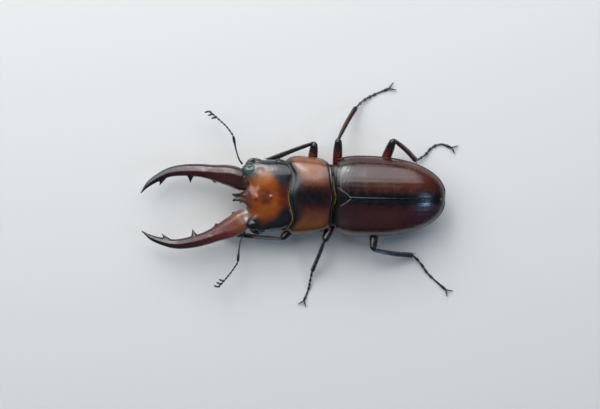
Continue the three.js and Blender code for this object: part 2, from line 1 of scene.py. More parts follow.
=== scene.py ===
"""Looks of a still, life-size stag beetle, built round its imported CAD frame.

Shapes are worked out in millimetres in the trunk's frame (head towards -Y, the animal's left side +X,
floor at z = 0) and moved to the row's frame, in metres, when a piece is made.
"""
import math
import random

import bmesh
import bpy
import numpy as np
from mathutils import Matrix, Vector


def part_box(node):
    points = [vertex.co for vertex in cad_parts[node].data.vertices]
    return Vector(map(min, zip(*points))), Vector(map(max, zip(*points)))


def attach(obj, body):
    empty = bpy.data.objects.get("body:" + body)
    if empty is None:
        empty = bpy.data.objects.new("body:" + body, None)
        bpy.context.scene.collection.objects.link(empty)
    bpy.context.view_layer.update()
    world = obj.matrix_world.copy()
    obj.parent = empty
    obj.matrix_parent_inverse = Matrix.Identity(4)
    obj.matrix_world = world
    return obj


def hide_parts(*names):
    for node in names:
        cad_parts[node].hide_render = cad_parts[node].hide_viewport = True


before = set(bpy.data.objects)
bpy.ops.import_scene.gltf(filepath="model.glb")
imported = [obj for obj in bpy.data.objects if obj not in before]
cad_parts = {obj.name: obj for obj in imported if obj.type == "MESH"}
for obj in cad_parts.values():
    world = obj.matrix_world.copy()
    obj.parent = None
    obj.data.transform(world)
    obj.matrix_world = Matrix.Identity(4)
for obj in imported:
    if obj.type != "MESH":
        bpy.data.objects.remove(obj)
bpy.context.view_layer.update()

# ---- sizes in millimetres, as in the CAD

MM = 0.001
BODY_EDGE = 6.8  # height of the trunk's widest line
BODY_LOW = 3.4
GAP = 0.3
# Room cut round what stands in a plate.
HIP_ROOM = 0.22
THIGH_ROOM = 0.2
EYE_ROOM = 0.06
JAW_ROOM = 0.3
SHIELD_ROOM = 0.09
SIDES = {"right": -1, "left": 1}

PRONOTUM = {"front": -10.2, "rear": -1.15, "half_width": 9.0, "top": 11.2, "hem": 5.8}
PRONOTUM_REACH = -0.35  # rearmost point of the pronotum
ELYTRA = {"front": 0.35, "middle": 7.0, "rear": 25.4, "half_width": 9.15, "top": 12.3, "thick": 0.7,
          "round": 2.25}
ELYTRA_YAW = math.radians(-1.5)
DOME_STRAIGHT = 0.3  # share of an elytron's rows that lies ahead of its middle
DOME_POWER = 2.35
SEAM_STEP = GAP / 2 * 0.35
WAIST_SEAM = 10.0
ABDOMEN_TIP = 24.1
SCUTELLUM = {"front": 0.45, "tip": 3.3, "half_width": 1.9, "depth": 0.9}

HEAD = {"half_width": 8.25, "low": 4.1, "edge": 6.9, "top": 10.3, "brow": 9.2}
HEAD_PIVOT = np.array((-0.3, -10.7, 0.0))
HEAD_YAW = math.radians(3.5)
EYE_PLACE = (7.75, -6.6, 7.35)
EYE_RADII = (0.95, 1.2, 1.15)

JAW_BASE = {-1: (-3.7, -9.45, 6.9), 1: (4.95, -9.9, 6.9)}
JAW_SWING = {-1: math.radians(3.2), 1: math.radians(4.3)}
JAW_LINE = [(-0.5, 1.3, 0.1), (0.15, -1.0, 0.0), (1.3, -3.0, -0.1), (2.68, -7.2, -0.3), (3.6, -10.8, -0.5),
            (4.03, -14.6, -0.8), (3.85, -17.6, -1.0), (2.9, -20.4, -1.15), (1.6, -22.8, -1.2),
            (-0.15, -24.7, -1.2)]
JAW_WIDTHS = [1.7, 2.45, 2.35, 1.8, 1.52, 1.36, 1.17, 0.93, 0.65, 0.12]
JAW_HEIGHTS = [1.3, 2.0, 1.85, 1.5, 1.3, 1.15, 1.0, 0.85, 0.6, 0.12]
# Where each tooth stands on its jaw: root, tip, radius.
JAW_TEETH = [((2.9, -12.7, -0.7), (0.85, -12.95, -0.75), 0.62), ((2.6, -19.0, -1.1), (1.1, -20.2, -1.1), 0.5),
             ((1.4, -7.3, -0.3), (0.32, -7.35, -0.35), 0.5)]
# Polished knobs where a jaw turns in its socket: place, height, radius.
JAW_KNOBS = [((-1.9, 0.4), 0.3, 0.75), ((0.1, -0.05), 0.16, 0.4)]

REST = 0.27  # height of a foot's path where it stands
COXAE = {"front": ((2.9, -5.7, 3.6), (1.8, 1.15, 1.2)), "middle": ((2.9, 0.9, 3.5), (1.6, 1.2, 1.2)),
         "hind": ((3.3, 10.0, 3.5), (2.3, 1.1, 1.15))}
# Hip, knee, ankle and the foot's path, of each leg.
LEGS = {
    "front_right": [(-3.9, -5.6, 3.3), (-12.1, -4.75, 6.3), (-7.5, -15.6, 1.6),
                    (-6.3, -18.1, 0.75), (-5.7, -20.2, REST), (-5.2, -22.6, REST)],
    "front_left": [(3.9, -6.1, 3.3), (10.3, -12.3, 5.7), (9.7, -23.4, 1.6),
                   (10.2, -26.1, 0.75), (10.5, -28.3, REST), (10.9, -30.9, REST)],
    "middle_right": [(-3.9, 0.4, 3.3), (-13.0, 0.75, 7.2), (-20.0, 5.0, 1.6),
                     (-21.6, 6.8, 0.75), (-22.9, 9.2, REST), (-24.4, 12.9, REST)],
    "middle_left": [(3.8, 0.6, 3.3), (10.7, -2.4, 6.8), (18.6, -5.2, 1.6),
                    (21.2, -5.7, 0.95), (23.2, -6.1, REST), (26.0, -7.2, REST)],
    "hind_right": [(-4.4, 10.3, 3.3), (-12.9, 13.3, 7.9), (-7.5, 19.0, 1.6),
                   (-8.8, 21.1, 0.7), (-10.6, 22.9, REST), (-11.3, 25.0, REST), (-10.4, 27.5, REST)],
    "hind_left": [(4.4, 9.5, 3.3), (12.8, 8.9, 6.2), (14.8, 18.5, 1.6),
                  (17.0, 20.5, 0.75), (19.4, 22.2, REST), (23.4, 26.6, REST)],
}
# The scape's path, two points of the beads behind it, and the club's start and end, of each feeler.
FEELERS = {
    "right": ([(-7.45, -10.15, 6.1), (-8.6, -10.8, 6.6), (-10.6, -11.3, 7.1), (-14.3, -11.8, 7.4)],
              [(-16.5, -13.3, 6.9), (-18.2, -15.0, 6.2)], [(-18.4, -15.3, 6.1), (-20.2, -17.1, 5.4)]),
    "left": ([(8.0, -10.6, 6.1), (9.8, -11.6, 6.4), (11.9, -12.2, 6.7), (15.1, -12.7, 6.9)],
             [(17.4, -14.4, 6.4), (19.1, -15.9, 5.8)], [(19.3, -16.1, 5.7), (21.1, -17.8, 5.1)]),
}
PALPS = {"maxillary": [(3.0, -8.6, 3.9), (3.7, -10.2, 3.6), (4.0, -11.9, 3.7), (4.0, -13.6, 4.0)],
         "labial": [(0.9, -8.9, 3.9), (1.3, -10.2, 3.6), (1.5, -11.6, 3.8)]}

# The pronotum's middle and its rear margin give the step from the trunk's frame to the row's.
_low, _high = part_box("pronotum")
SHIFT = np.array(((_low.x + _high.x) / 2 / MM, _high.y / MM - PRONOTUM_REACH, 0.0))

# ---- camera

CAMERA_PLACE = (-38.089, -8.0675, 334.301)
CAMERA_TILT = math.radians(7)
CAMERA_LENS = 85.9
CAMERA_FILM = 36
CAMERA_NEAREST = 0.01


def added(name, data):
    """Adds an object to the scene."""
    thing = bpy.data.objects.new(name, data)
    bpy.context.scene.collection.objects.link(thing)
    return thing


def to_row(points):
    return (points + SHIFT) * MM


def make_camera():
    data = bpy.data.cameras.new("camera")
    data.lens = CAMERA_LENS
    data.sensor_width = CAMERA_FILM
    data.clip_start = CAMERA_NEAREST
    camera = added("camera", data)
    c, s = math.cos(CAMERA_TILT), math.sin(CAMERA_TILT)
    x, y, z = to_row(CAMERA_PLACE)
    camera.matrix_world = Matrix(((0, -c, -s, x), (1, 0, 0, y), (0, -s, c, z), (0, 0, 0, 1)))
    bpy.context.scene.camera = camera


make_camera()

# ---- curves and numbers

ROUTE_STEPS = 40  # for each point of a route
TINY = 1e-6


def steps(count):
    return np.linspace(0, 1, count)


def eased(count, even, bunched):
    """Steps from 0 to 1, as a blend of even ones and ones that bunch up at both ends."""
    t = steps(count)
    return even * t + bunched * (0.5 - 0.5 * np.cos(math.pi * t))


def angles(count):
    return np.linspace(0, 2 * math.pi, count, endpoint=False)


def smooth(a, b, x):
    """Rises from 0 at a to 1 at b."""
    t = np.clip((x - a) / (b - a), 0, 1)
    return t * t * (3 - 2 * t)


def fade(a, b, x):
    """Falls from 1 at a to 0 at b."""
    return 1 - smooth(a, b, x)


def bell(x, width):
    return np.exp(-((x / width) ** 2))


def spot(x, width, y, height):
    """Soft oval patch round the place where x and y are 0."""
    return bell(np.hypot(x / width, y / height), 1)


def signed_power(x, p):
    return np.sign(x) * np.abs(x) ** p


def unit(v):
    v = np.asarray(v, float)
    return v / np.linalg.norm(v, axis=-1, keepdims=True)


def along(values, t):
    """Reads a smooth curve through evenly spaced values at t from 0 to 1."""
    v = np.asarray(values, float)
    place = np.clip(t, 0, 1) * (len(v) - 1)
    i = np.minimum(place.astype(int), len(v) - 2)
    before = v[np.maximum(i - 1, 0)]
    after = v[np.minimum(i + 2, len(v) - 1)]
    w = place - i
    a = (v[i + 1] - before) / 2
    b = (after - v[i]) / 2
    return (v[i] * (2 * w**3 - 3 * w**2 + 1) + a * (w**3 - 2 * w**2 + w)
            + v[i + 1] * (3 * w**2 - 2 * w**3) + b * (w**3 - w**2))


def route(points, t):
    """Centres and directions at shares t of a centripetal Catmull-Rom curve, and its length."""
    p = np.asarray(points, float)
    p = np.vstack((2 * p[0] - p[1], p, 2 * p[-1] - p[-2]))
    fine = []
    w = np.linspace(0, 1, ROUTE_STEPS, endpoint=False)[:, None]
    for i in range(1, len(p) - 2):
        d = [max(np.linalg.norm(p[i + k] - p[i + k - 1]), TINY) ** 0.5 for k in range(3)]
        last, step, following = p[i] - p[i - 1], p[i + 1] - p[i], p[i + 2] - p[i + 1]
        a = (last / d[0] - (p[i + 1] - p[i - 1]) / (d[0] + d[1]) + step / d[1]) * d[1]
        b = (step / d[1] - (p[i + 2] - p[i]) / (d[1] + d[2]) + following / d[2]) * d[1]
        fine.append(p[i] + a * w + (3 * step - 2 * a - b) * w**2 + (2 * (p[i] - p[i + 1]) + a + b) * w**3)
    fine = np.vstack(fine + [p[-2:-1]])
    lengths = np.concatenate(([0], np.cumsum(np.linalg.norm(np.diff(fine, axis=0), axis=1))))
    slope = np.gradient(fine, lengths, axis=0)
    at = t * lengths[-1]
    centre = np.stack([np.interp(at, lengths, fine[:, k]) for k in range(3)], 1)
    forward = np.stack([np.interp(at, lengths, slope[:, k]) for k in range(3)], 1)
    return centre, unit(forward), lengths[-1]


# ---- shapes as (points, faces)


def grid(rings):
    """Shape through equal rings. Rings that end in a point are welded later."""
    n, m = rings.shape[:2]
    i, j = np.meshgrid(np.arange(n - 1), np.arange(m), indexing="ij")
    a = i * m + j
    b = i * m + (j + 1) % m
    faces = np.stack((a, b, b + m, a + m), -1).reshape(-1, 4).tolist()
    return rings.reshape(-1, 3), [tuple(face) for face in faces]


def merged(*shapes):
    points, faces, start = [], [], 0
    for p, f in shapes:
        points.append(p)
        faces += [tuple(k + start for k in face) for face in f]
        start += len(p)
    return np.vstack(points), faces


def ringed(centre, side, rise, x, z):
    """Rings round a path, from each corner's steps along side and rise."""
    return centre[:, None] + side[:, None] * x[..., None] + rise[:, None] * z[..., None]


def swept(centre, forward, up, across, rising, angle):
    """Rings round a path with oval sections, of half widths across and half heights rising."""
    side = unit(np.cross(up, forward))
    return ringed(centre, side, np.cross(forward, side), across[:, None] * np.cos(angle),
                  rising[:, None] * np.sin(angle))


def closing(reach):
    """Share of the full radius near a rounded end, at a distance from it in radii."""
    return np.sqrt(np.clip(1 - (1 - np.clip(reach, 0, 1)) ** 2, 0, 1))


def tube(points, widths, heights=None, rings=40, sides=24, up=(0, 0, 1), blunt=1.0):
    """Closed limb along a path with rounded ends. blunt scales how soon an end closes."""
    t = eased(rings, 0.65, 0.35)
    centre, forward, length = route(points, t)
    w, h = along(widths, t), along(widths if heights is None else heights, t)
    close = closing(np.minimum(t, 1 - t) * length / (np.minimum(w, h) * blunt))
    return grid(swept(centre, forward, up, w * close, h * close, angles(sides)))


def strand(path, start, end, count, widths, heights=None, **more):
    """Tube along the part of a path between two shares of its length."""
    return tube(route(path, np.linspace(start, end, count))[0], widths, heights, **more)


def egg(centre, radii, across=48, down=28):
    turn = np.linspace(0, math.pi, down)[:, None]
    angle = angles(across)[None]
    wide = np.sin(turn)
    return grid(np.stack((wide * np.cos(angle), wide * np.sin(angle), np.cos(turn) + 0 * angle), -1) * radii
                + centre)


def thorn(base, tip, radius, bend=(0, 0, 0), sides=14, rings=12):
    """Hollow-sided thorn that flares at its foot."""
    t = steps(rings)
    width = radius * ((1 - t) ** 1.35 * 0.93 + 0.07 * (1 - t) ** 0.3)
    up = (0, 0, 1) if abs(unit(tip - base)[2]) < 0.9 else (1, 0, 0)
    centre, forward, _ = route([base, (base + tip) / 2 + bend, tip], t)
    points, faces = grid(swept(centre, forward, up, width, width, angles(sides)))
    foot = [(len(points), (j + 1) % sides, j) for j in range(sides)]
    return np.vstack((points, base)), faces + foot


def turned(points, yaw):
    c, s = math.cos(yaw), math.sin(yaw)
    return np.asarray(points, float) @ np.array(((c, s, 0), (-s, c, 0), (0, 0, 1)))


def in_head(points):
    return turned(points, HEAD_YAW) + HEAD_PIVOT


def off_head(points):
    return turned(points - HEAD_PIVOT, -HEAD_YAW)


def in_rear(points):
    return turned(points, ELYTRA_YAW)


def placed(shape, move):
    """The shape with its points moved."""
    return move(shape[0]), shape[1]


def mirrored(place, side):
    return np.array(place) * (side, 1, 1)


def flipped(shape, side):
    """The shape, mirrored for the right side."""
    points, faces = shape
    if side > 0:
        return points, faces
    return points * (-1, 1, 1), [tuple(reversed(f)) for f in faces]


# ---- mesh work in Blender

WELD = 2e-4
SLIVER = 1e-5


def raw_object(shape):
    """Welded object on a shape, with its normals outward."""
    mesh = bpy.data.meshes.new("raw")
    mesh.from_pydata(shape[0].tolist(), [], shape[1])
    bm = bmesh.new()
    bm.from_mesh(mesh)
    bmesh.ops.remove_doubles(bm, verts=bm.verts, dist=WELD)
    bmesh.ops.dissolve_degenerate(bm, edges=bm.edges, dist=SLIVER)
    bmesh.ops.recalc_face_normals(bm, faces=bm.faces)
    bm.to_mesh(mesh)
    bm.free()
    return added("raw", mesh)


def dropped(thing):
    """Deletes an object and its mesh."""
    mesh = thing.data
    bpy.data.objects.remove(thing)
    bpy.data.meshes.remove(mesh)


def points_of(mesh):
    co = np.empty(len(mesh.vertices) * 3)
    mesh.vertices.foreach_get("co", co)
    return co.reshape(-1, 3)


def baked(thing):
    """The shape of an object after its modifiers; the object is deleted."""
    bpy.context.view_layer.update()
    done = bpy.data.meshes.new_from_object(thing.evaluated_get(bpy.context.evaluated_depsgraph_get()))
    shape = points_of(done), [tuple(p.vertices) for p in done.polygons]
    dropped(thing)
    bpy.data.meshes.remove(done)
    return shape


def fused(shapes, voxel, relax):
    """One closed skin round overlapping shapes."""
    thing = raw_object(merged(*shapes))
    melt = thing.modifiers.new("melt", "REMESH")
    melt.mode = "VOXEL"
    melt.voxel_size = voxel
    soften = thing.modifiers.new("soften", "SMOOTH")
    soften.factor = 0.5
    soften.iterations = relax
    return baked(thing)


def carved(shape, tools):
    """The shape less each tool."""
    thing = raw_object(shape)
    cutters = [raw_object(tool) for tool in tools]
    for cutter in cutters:
        cut = thing.modifiers.new("cut", "BOOLEAN")
        cut.operation = "DIFFERENCE"
        cut.solver = "EXACT"
        cut.object = cutter
    done = baked(thing)
    for cutter in cutters:
        dropped(cutter)
    return done


def srgb(code):
    """Linear colour from a hex code. Colours that are linear already pass through."""
    if not isinstance(code, str):
        return np.asarray(code, float)
    v = np.array([int(code[k:k + 2], 16) / 255 for k in (1, 3, 5)])
    return np.where(v <= 0.04045, v / 12.92, ((v + 0.055) / 1.055) ** 2.4)


def mixed(a, b, share):
    """Blends colours a and b, one row per point."""
    share = share[:, None]
    return srgb(a) * (1 - share) + srgb(b) * share


def painted(base, *coats):
    """Lays coats over a base in turn. Each is a colour and its share at every point."""
    for colour, share in coats:
        base = mixed(base, colour, share)
    return base


def plain(code):
    return lambda p: np.tile(srgb(code), (len(p), 1))


def dress(thing, points, material, shade, slot, node=None, crease=None):
    """Paints a mesh with a shade worked out for each point, in millimetres, hangs it on the root body and
    hides the CAD part it stands for.
    """
    mesh = thing.data
    values = np.ones((len(points), 4), np.float32)
    values[:, :3] = shade(points)
    mesh.attributes.new("shade", "FLOAT_COLOR", "POINT").data.foreach_set("color", values.ravel())
    mesh.polygons.foreach_set("use_smooth", np.ones(len(mesh.polygons), bool))
    if crease:
        mesh.set_sharp_from_angle(angle=math.radians(crease))
    mesh.materials.append(material)
    mesh.update()
    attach(thing, "root")
    if node:
        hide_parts(node)


def piece(name, node, slot, shape, material, shade, crease=None):
    """Makes the visible piece that stands for a CAD node."""
    thing = raw_object(shape)
    thing.name = thing.data.name = name
    points = points_of(thing.data)
    thing.data.vertices.foreach_set("co", to_row(points).ravel())
    dress(thing, points, material, shade, slot, node, crease)


# ---- materials

MOTTLE = 0.16
ROUGH_SPREAD = 0.3


def add_node(tree, kind, inputs, operation=None):
    """Adds a shader node and gives its first output. inputs holds values, or the outputs that feed them."""
    node = tree.nodes.new(kind)
    if operation:
        node.operation = operation
    for key, value in inputs.items():
        if isinstance(value, bpy.types.NodeSocket):
            tree.links.new(value, node.inputs[key])
        else:
            node.inputs[key].default_value = value
    return node.outputs[0]


def chitin(name, rough, coat, coat_rough=0.14, pits=0.12, pit_size=0.16, waves=0.25, wave_size=1.6, grain=0):
    """Polished horn-like shell: a painted shade, fine mottling, tiny pits, slow waves and uneven polish."""
    material = bpy.data.materials.new(name)
    material.use_nodes = True
    tree = material.node_tree
    tree.nodes.clear()
    where = tree.nodes.new("ShaderNodeTexCoord").outputs["Object"]

    def noise(size, detail, vector=where):
        return add_node(tree, "ShaderNodeTexNoise", {"Scale": 1 / (size * MM), "Detail": detail,
                                                     "Roughness": 0.55, "Vector": vector})

    def ranged(value, low, high, start=0.3, end=0.7):
        return add_node(tree, "ShaderNodeMapRange", {"Value": value, "From Min": start, "From Max": end,
                                                     "To Min": low, "To Max": high})

    def bump(height, strength, depth, under):
        return add_node(tree, "ShaderNodeBump", {"Height": height, "Strength": strength,
                                                 "Distance": depth * MM, **under})

    paint = tree.nodes.new("ShaderNodeAttribute")
    paint.attribute_name = "shade"
    colour = paint.outputs["Color"]
    for size, amount in ((2.4, MOTTLE), (0.35, MOTTLE * 0.3)):
        share = ranged(noise(size, 3.0), 1 - amount, 1 + amount)
        colour = add_node(tree, "ShaderNodeVectorMath", {0: colour, "Scale": share}, "SCALE")
    polish = ranged(noise(1.1, 4.0), rough * (1 - ROUGH_SPREAD), rough * (1 + ROUGH_SPREAD))

    pit = add_node(tree, "ShaderNodeTexVoronoi", {"Scale": 1 / (pit_size * MM), "Vector": where})
    drawn = add_node(tree, "ShaderNodeVectorMath", {0: where, 1: (0.12, 1.0, 0.12)}, "MULTIPLY")
    dimples = bump(ranged(pit, 0, 1, 0.0, 0.45), pits, 0.02, {})
    swell = bump(noise(wave_size, 2.0), waves, 0.06, {"Normal": dimples})
    brush = bump(noise(0.14, 4.0, drawn), grain, 0.02, {"Normal": swell})
    skin = add_node(tree, "ShaderNodeBsdfPrincipled", {
        "Base Color": colour, "Roughness": polish, "Normal": brush, "IOR": 1.54, "Coat Weight": coat,
        "Coat Roughness": coat_rough})
    tree.links.new(skin, tree.nodes.new("ShaderNodeOutputMaterial").inputs["Surface"])
    return material


SHELL = chitin("shell", rough=0.25, coat=0.25)
WING_SHELL = chitin("wing_shell", rough=0.25, coat=0.25, grain=0.3)
HEAD_SHELL = chitin("head_shell", rough=0.25, coat=0.25, pits=0.15)
JAW_SHELL = chitin("jaw_shell", rough=0.27, coat=0.12, waves=0.3, wave_size=1.1)
LIMB_SHELL = chitin("limb_shell", rough=0.25, coat=0.5, coat_rough=0.1, pits=0.3, wave_size=0.7)
BELLY_SHELL = chitin("belly_shell", rough=0.42, coat=0.2, coat_rough=0.2, pits=0.4)
EYE_SHELL = chitin("eye_shell", rough=0.16, coat=0.8, coat_rough=0.04, pits=0.8, pit_size=0.09, waves=0.0)
HAIR = chitin("hair", rough=0.45, coat=0.0, pits=0.0, waves=0.0)

BLACK = "#0b090b"
PITCH = "#171116"

# ---- trunk plates


def lens_rings(s, half, low, edge, top, corners, front, rear, top_power, low_power):
    """Rings of a plate with a rounded lens for its section. Sizes are numbers or rows over s."""
    angle = angles(corners)[None]
    upper = np.sin(angle) >= 0
    power = np.where(upper, 2 / top_power, 2 / low_power)
    s, half, low, edge, top = [(k + 0 * s)[:, None] for k in (s, half, low, edge, top)]
    x = half * signed_power(np.cos(angle), power)
    z = edge + np.where(upper, top - edge, edge - low) * signed_power(np.sin(angle), power)
    y = front(x) + (rear(x) - front(x)) * s
    return np.stack((x, y, z), -1)


def level(y):
    """Straight margin of a plate."""
    return lambda x: y + 0 * x


def capped(rings, layers=6):
    """Adds rings that close both ends towards their middles."""
    def end(ring):
        middle = ring.mean(0)
        return [middle + (ring - middle) * k for k in np.linspace(1, 0, layers + 1)[1:]]
    return np.stack(end(rings[0])[::-1] + list(rings) + end(rings[-1]))


def softened(rings, radius):
    """Rounds the front and rear edges of a ringed plate."""
    middle = rings.mean(1)
    ahead = np.concatenate(([0], np.cumsum(np.linalg.norm(np.diff(middle, axis=0), axis=1))))
    near = np.minimum(ahead, ahead[-1] - ahead) / radius
    shrink = radius * (1 - np.sqrt(1 - (1 - np.clip(near, 0, 1)) ** 2))
    inward = (middle[:, None] - rings) * (1, 0, 1)
    inward /= np.maximum(np.linalg.norm(inward, axis=-1, keepdims=True), TINY)
    return rings + inward * shrink[:, None, None]


def normals_of(rings):
    """Outward unit normals of ringed points, from neighbouring rings and corners."""
    n = np.cross(np.roll(rings, -1, 1) - np.roll(rings, 1, 1), np.gradient(rings, axis=0))
    n = n / np.maximum(np.linalg.norm(n, axis=-1, keepdims=True), TINY)
    outward = np.mean(np.sum(n * (rings - rings.mean(1, keepdims=True)), -1)) >= 0
    return n if outward else -n


def pronotum_front(x):
    side = np.abs(x)
    lobe = PRONOTUM["front"] + 0.05 - 0.45 * np.cos(math.pi * np.minimum(side, 5) / 5)
    return lobe - 1.5 * smooth(5, 8.4, side)


def pronotum_rear(x):
    side = np.abs(x)
    lobe = 0.4 * np.exp(-side * side / 3)
    return PRONOTUM["rear"] + 0.7 - 0.012 * side * side + lobe - 0.9 * smooth(6.5, 8.6, side)


def make_pronotum():
    s = eased(120, 0.5, 0.5)
    rim = 1 - fade(0, 0.12, s) * 0.045 - smooth(0.9, 1, s) * 0.05
    half = PRONOTUM["half_width"] * along([8.5, 8.95, 9.0, 8.85, 8.6, 8.1], s) / 9.0 * rim
    top = BODY_EDGE + (PRONOTUM["top"] - BODY_EDGE) * along([0.84, 0.96, 1, 1, 0.97, 0.92], s) * rim
    rings = lens_rings(s, half, PRONOTUM["hem"], BODY_EDGE, top, 240, pronotum_front, pronotum_rear, 2.5, 6)
    n = normals_of(rings)
    x, y, z = rings[..., 0], rings[..., 1], rings[..., 2]
    f = y - pronotum_front(x)
    r = pronotum_rear(x) - y
    over = smooth(BODY_EDGE - 0.2, BODY_EDGE + 1.0, z)
    outer = np.abs(x) / np.maximum(np.abs(x).max(1, keepdims=True), TINY) > 0.8
    lift = over * -0.02 * bell(f - 0.8, 0.5)
    lift += over * (0.10 * bell(r - 0.2, 0.13) - 0.09 * bell(r - 0.5, 0.16))
    lift += 0.10 * bell(z - BODY_EDGE, 0.22) * outer - 0.05 * bell(z - BODY_EDGE - 0.6, 0.3) * outer
    lift -= over * 0.05 * bell(x, 0.7) * smooth(1, 3, f) * smooth(0.8, 2.5, r)
    lift -= over * 0.10 * bell(np.hypot(np.abs(x) - 5.6, y + 4.6), 1.2)
    lift += over * 0.10 * bell(np.hypot((np.abs(x) - 3.4) / 1.6, y + 5.4), 1.9)
    return grid(capped(softened(rings + n * lift[..., None], 0.16)))


def pronotum_shade(p):
    x, y, z = p.T
    front, rear = y - pronotum_front(x), pronotum_rear(x) - y
    side = np.abs(x)
    right = smooth(1.5, -1.5, x)
    band = mixed("#0c0509", "#2c0a0e", fade(0.4, 3.4, rear))
    # The front band is black; its lighter blue-grey towards the right side is a painted sheen.
    collar = mixed("#0d0d12", "#191b22", right * smooth(1.5, 3.5, side))
    return painted(
        mixed("#3a1510", "#653619", smooth(2, 6, side)),
        # Mauve on the right side only is a painted sheen where the light falls.
        ("#7c4d3a", 0.75 * right * smooth(2, 4.2, side)),
        # The orange patch is the plate's colour on both sides; its extra strength on the right side is
        # painted light.
        ("#96592f", (0.2 + 0.5 * right) * spot(side - 6.6, 1.7, y + 4.8, 2.8)),
        ("#46161a", 0.55 * fade(0.5, 2.8, rear)),
        (band, fade(0.7, 3.2, side)),
        (collar, fade(0.25, 1.15, front / (2.0 + 1.5 * bell(side - 3.2, 1.8)))),
        ("#0f0a0c", fade(0.5, 0.95, rear)),
        ("#1a0b09", fade(BODY_EDGE - 0.6, BODY_EDGE + 0.4, z)))


# ---- elytra and scutellum


def shield_side(grow, count):
    """Curved side of the scutellum, from its front corner to its tip."""
    t = steps(count)
    half, front = SCUTELLUM["half_width"], SCUTELLUM["front"]
    x = (1 - t) ** 2 * (half + grow) + 2 * (1 - t) * t * (half * 0.7 + grow)
    y = (1 - t) ** 2 * (front - grow) + 2 * (1 - t) * t * (front + 1.6 + grow)
    return x, y + t**2 * (SCUTELLUM["tip"] + 1.6 * grow)


def scutellum_gap(x, y):
    """Distance in millimetres from the scutellum's curved sides."""
    gap = np.full(np.shape(x), np.inf)
    for a, b in zip(*shield_side(0, 50)):
        gap = np.minimum(gap, np.hypot(np.abs(x) - a, y - b))
    return gap


def shield(grow, depth, base_z):
    """Solid on the outline of the scutellum."""
    x, y = shield_side(grow, 40)
    top_x = np.linspace(-x[0], x[0], 40)[1:-1]
    outline = np.concatenate((np.stack((x, y), 1), np.stack((-x[::-1][1:], y[::-1][1:]), 1),
                              np.stack((top_x, np.full_like(top_x, SCUTELLUM["front"] - grow)), 1)))
    heart = np.array((0.0, SCUTELLUM["front"] + 0.9))
    rings = []
    for scale, share in ((0.0, 0.0), (1.0, 0.0), (1.0, 0.5), (1.0, 0.9), (0.985, 0.97), (0.95, 1.0),
                         (0.88, 0.985), (0.75, 0.995), (0.55, 1.02), (0.3, 1.03), (0.0, 1.035)):
        height = np.full(len(outline), base_z + depth * share)
        rings.append(np.column_stack((heart + (outline - heart) * scale, height)))
    return placed(grid(np.stack(rings)), in_rear)


def sinking(fall):
    """Height of the elytra behind their middle."""
    return (1 - fall**2.5) ** 0.55


def dome(turn, v, inset):
    """Points of the elytra's dome. turn runs from the front to the tip, and v from the seam to the side."""
    e = ELYTRA
    length = e["rear"] - inset - e["middle"]
    t = np.clip(turn / DOME_STRAIGHT, 0, 1)
    angle = np.clip((turn - DOME_STRAIGHT) / (1 - DOME_STRAIGHT), 0, 1) * (math.pi / 2)
    ahead = turn < DOME_STRAIGHT
    y = np.where(ahead, e["front"] + (e["middle"] - e["front"]) * t,
                 e["middle"] + length * np.sin(angle) ** (2 / e["round"]))
    taper = np.where(ahead, 0.9 + 0.1 * (1 - (1 - np.minimum(t / 0.8, 1)) ** 2),
                     np.clip(np.cos(angle), 0, 1) ** (2 / e["round"]))
    fall = np.clip((y - e["middle"]) / length, 0, 1)
    shoulder = 0.93 + 0.07 * (y - e["front"]) / (e["middle"] - e["front"])
    height = np.where(ahead, shoulder, sinking(fall))
    across = v * math.pi / 2
    x = (e["half_width"] - inset) * taper * np.sin(across) ** (2 / DOME_POWER)
    lift = (e["top"] - BODY_EDGE - inset) * height
    z = BODY_EDGE + lift * np.clip(np.cos(across), 0, 1) ** (2 / DOME_POWER)
    return np.stack((x, y, z), -1)


def elytron_lift(x, y, from_seam, from_edge):
    """Ridges along the margins, a swollen shoulder and faint stripes, as heights over the dome."""
    from_front = y - ELYTRA["front"]
    keep = smooth(0.5, 2.5, from_seam[:, -1:])
    ridge = 0.045 * bell(from_seam - 0.08, 0.11) * (1 - 0.7 * smooth(9, 17, y))
    lift = ridge - 0.04 * bell(from_seam - 0.36, 0.18)
    lift += 0.17 * bell(from_edge - 0.14, 0.24) - 0.12 * bell(from_edge - 0.72, 0.32)
    lift = lift * keep
    lift += 0.05 * bell(from_front - 0.12, 0.18) - 0.05 * bell(from_front - 0.5, 0.25)
    lift += 0.20 * bell(np.hypot(x - 6.9, (y - 2.3) * 0.8), 1.5)
    lift += 0.05 * bell(scutellum_gap(x, y) - 0.16, 0.14)
    crinkle = 0.014 * spot(np.abs(x) - 6.0, 2.2, y - 1.9, 1.7) * np.sin(7.0 * y + 2.2 * np.sin(2.6 * x))
    lift += crinkle * smooth(0.3, 0.9, from_front)
    stripe = 0.006 * np.sin(from_seam * 2 * math.pi / 1.15) * smooth(0.9, 1.8, from_seam)
    return lift + stripe * smooth(0.8, 2, from_edge) * smooth(1, 4, from_front) * keep, keep


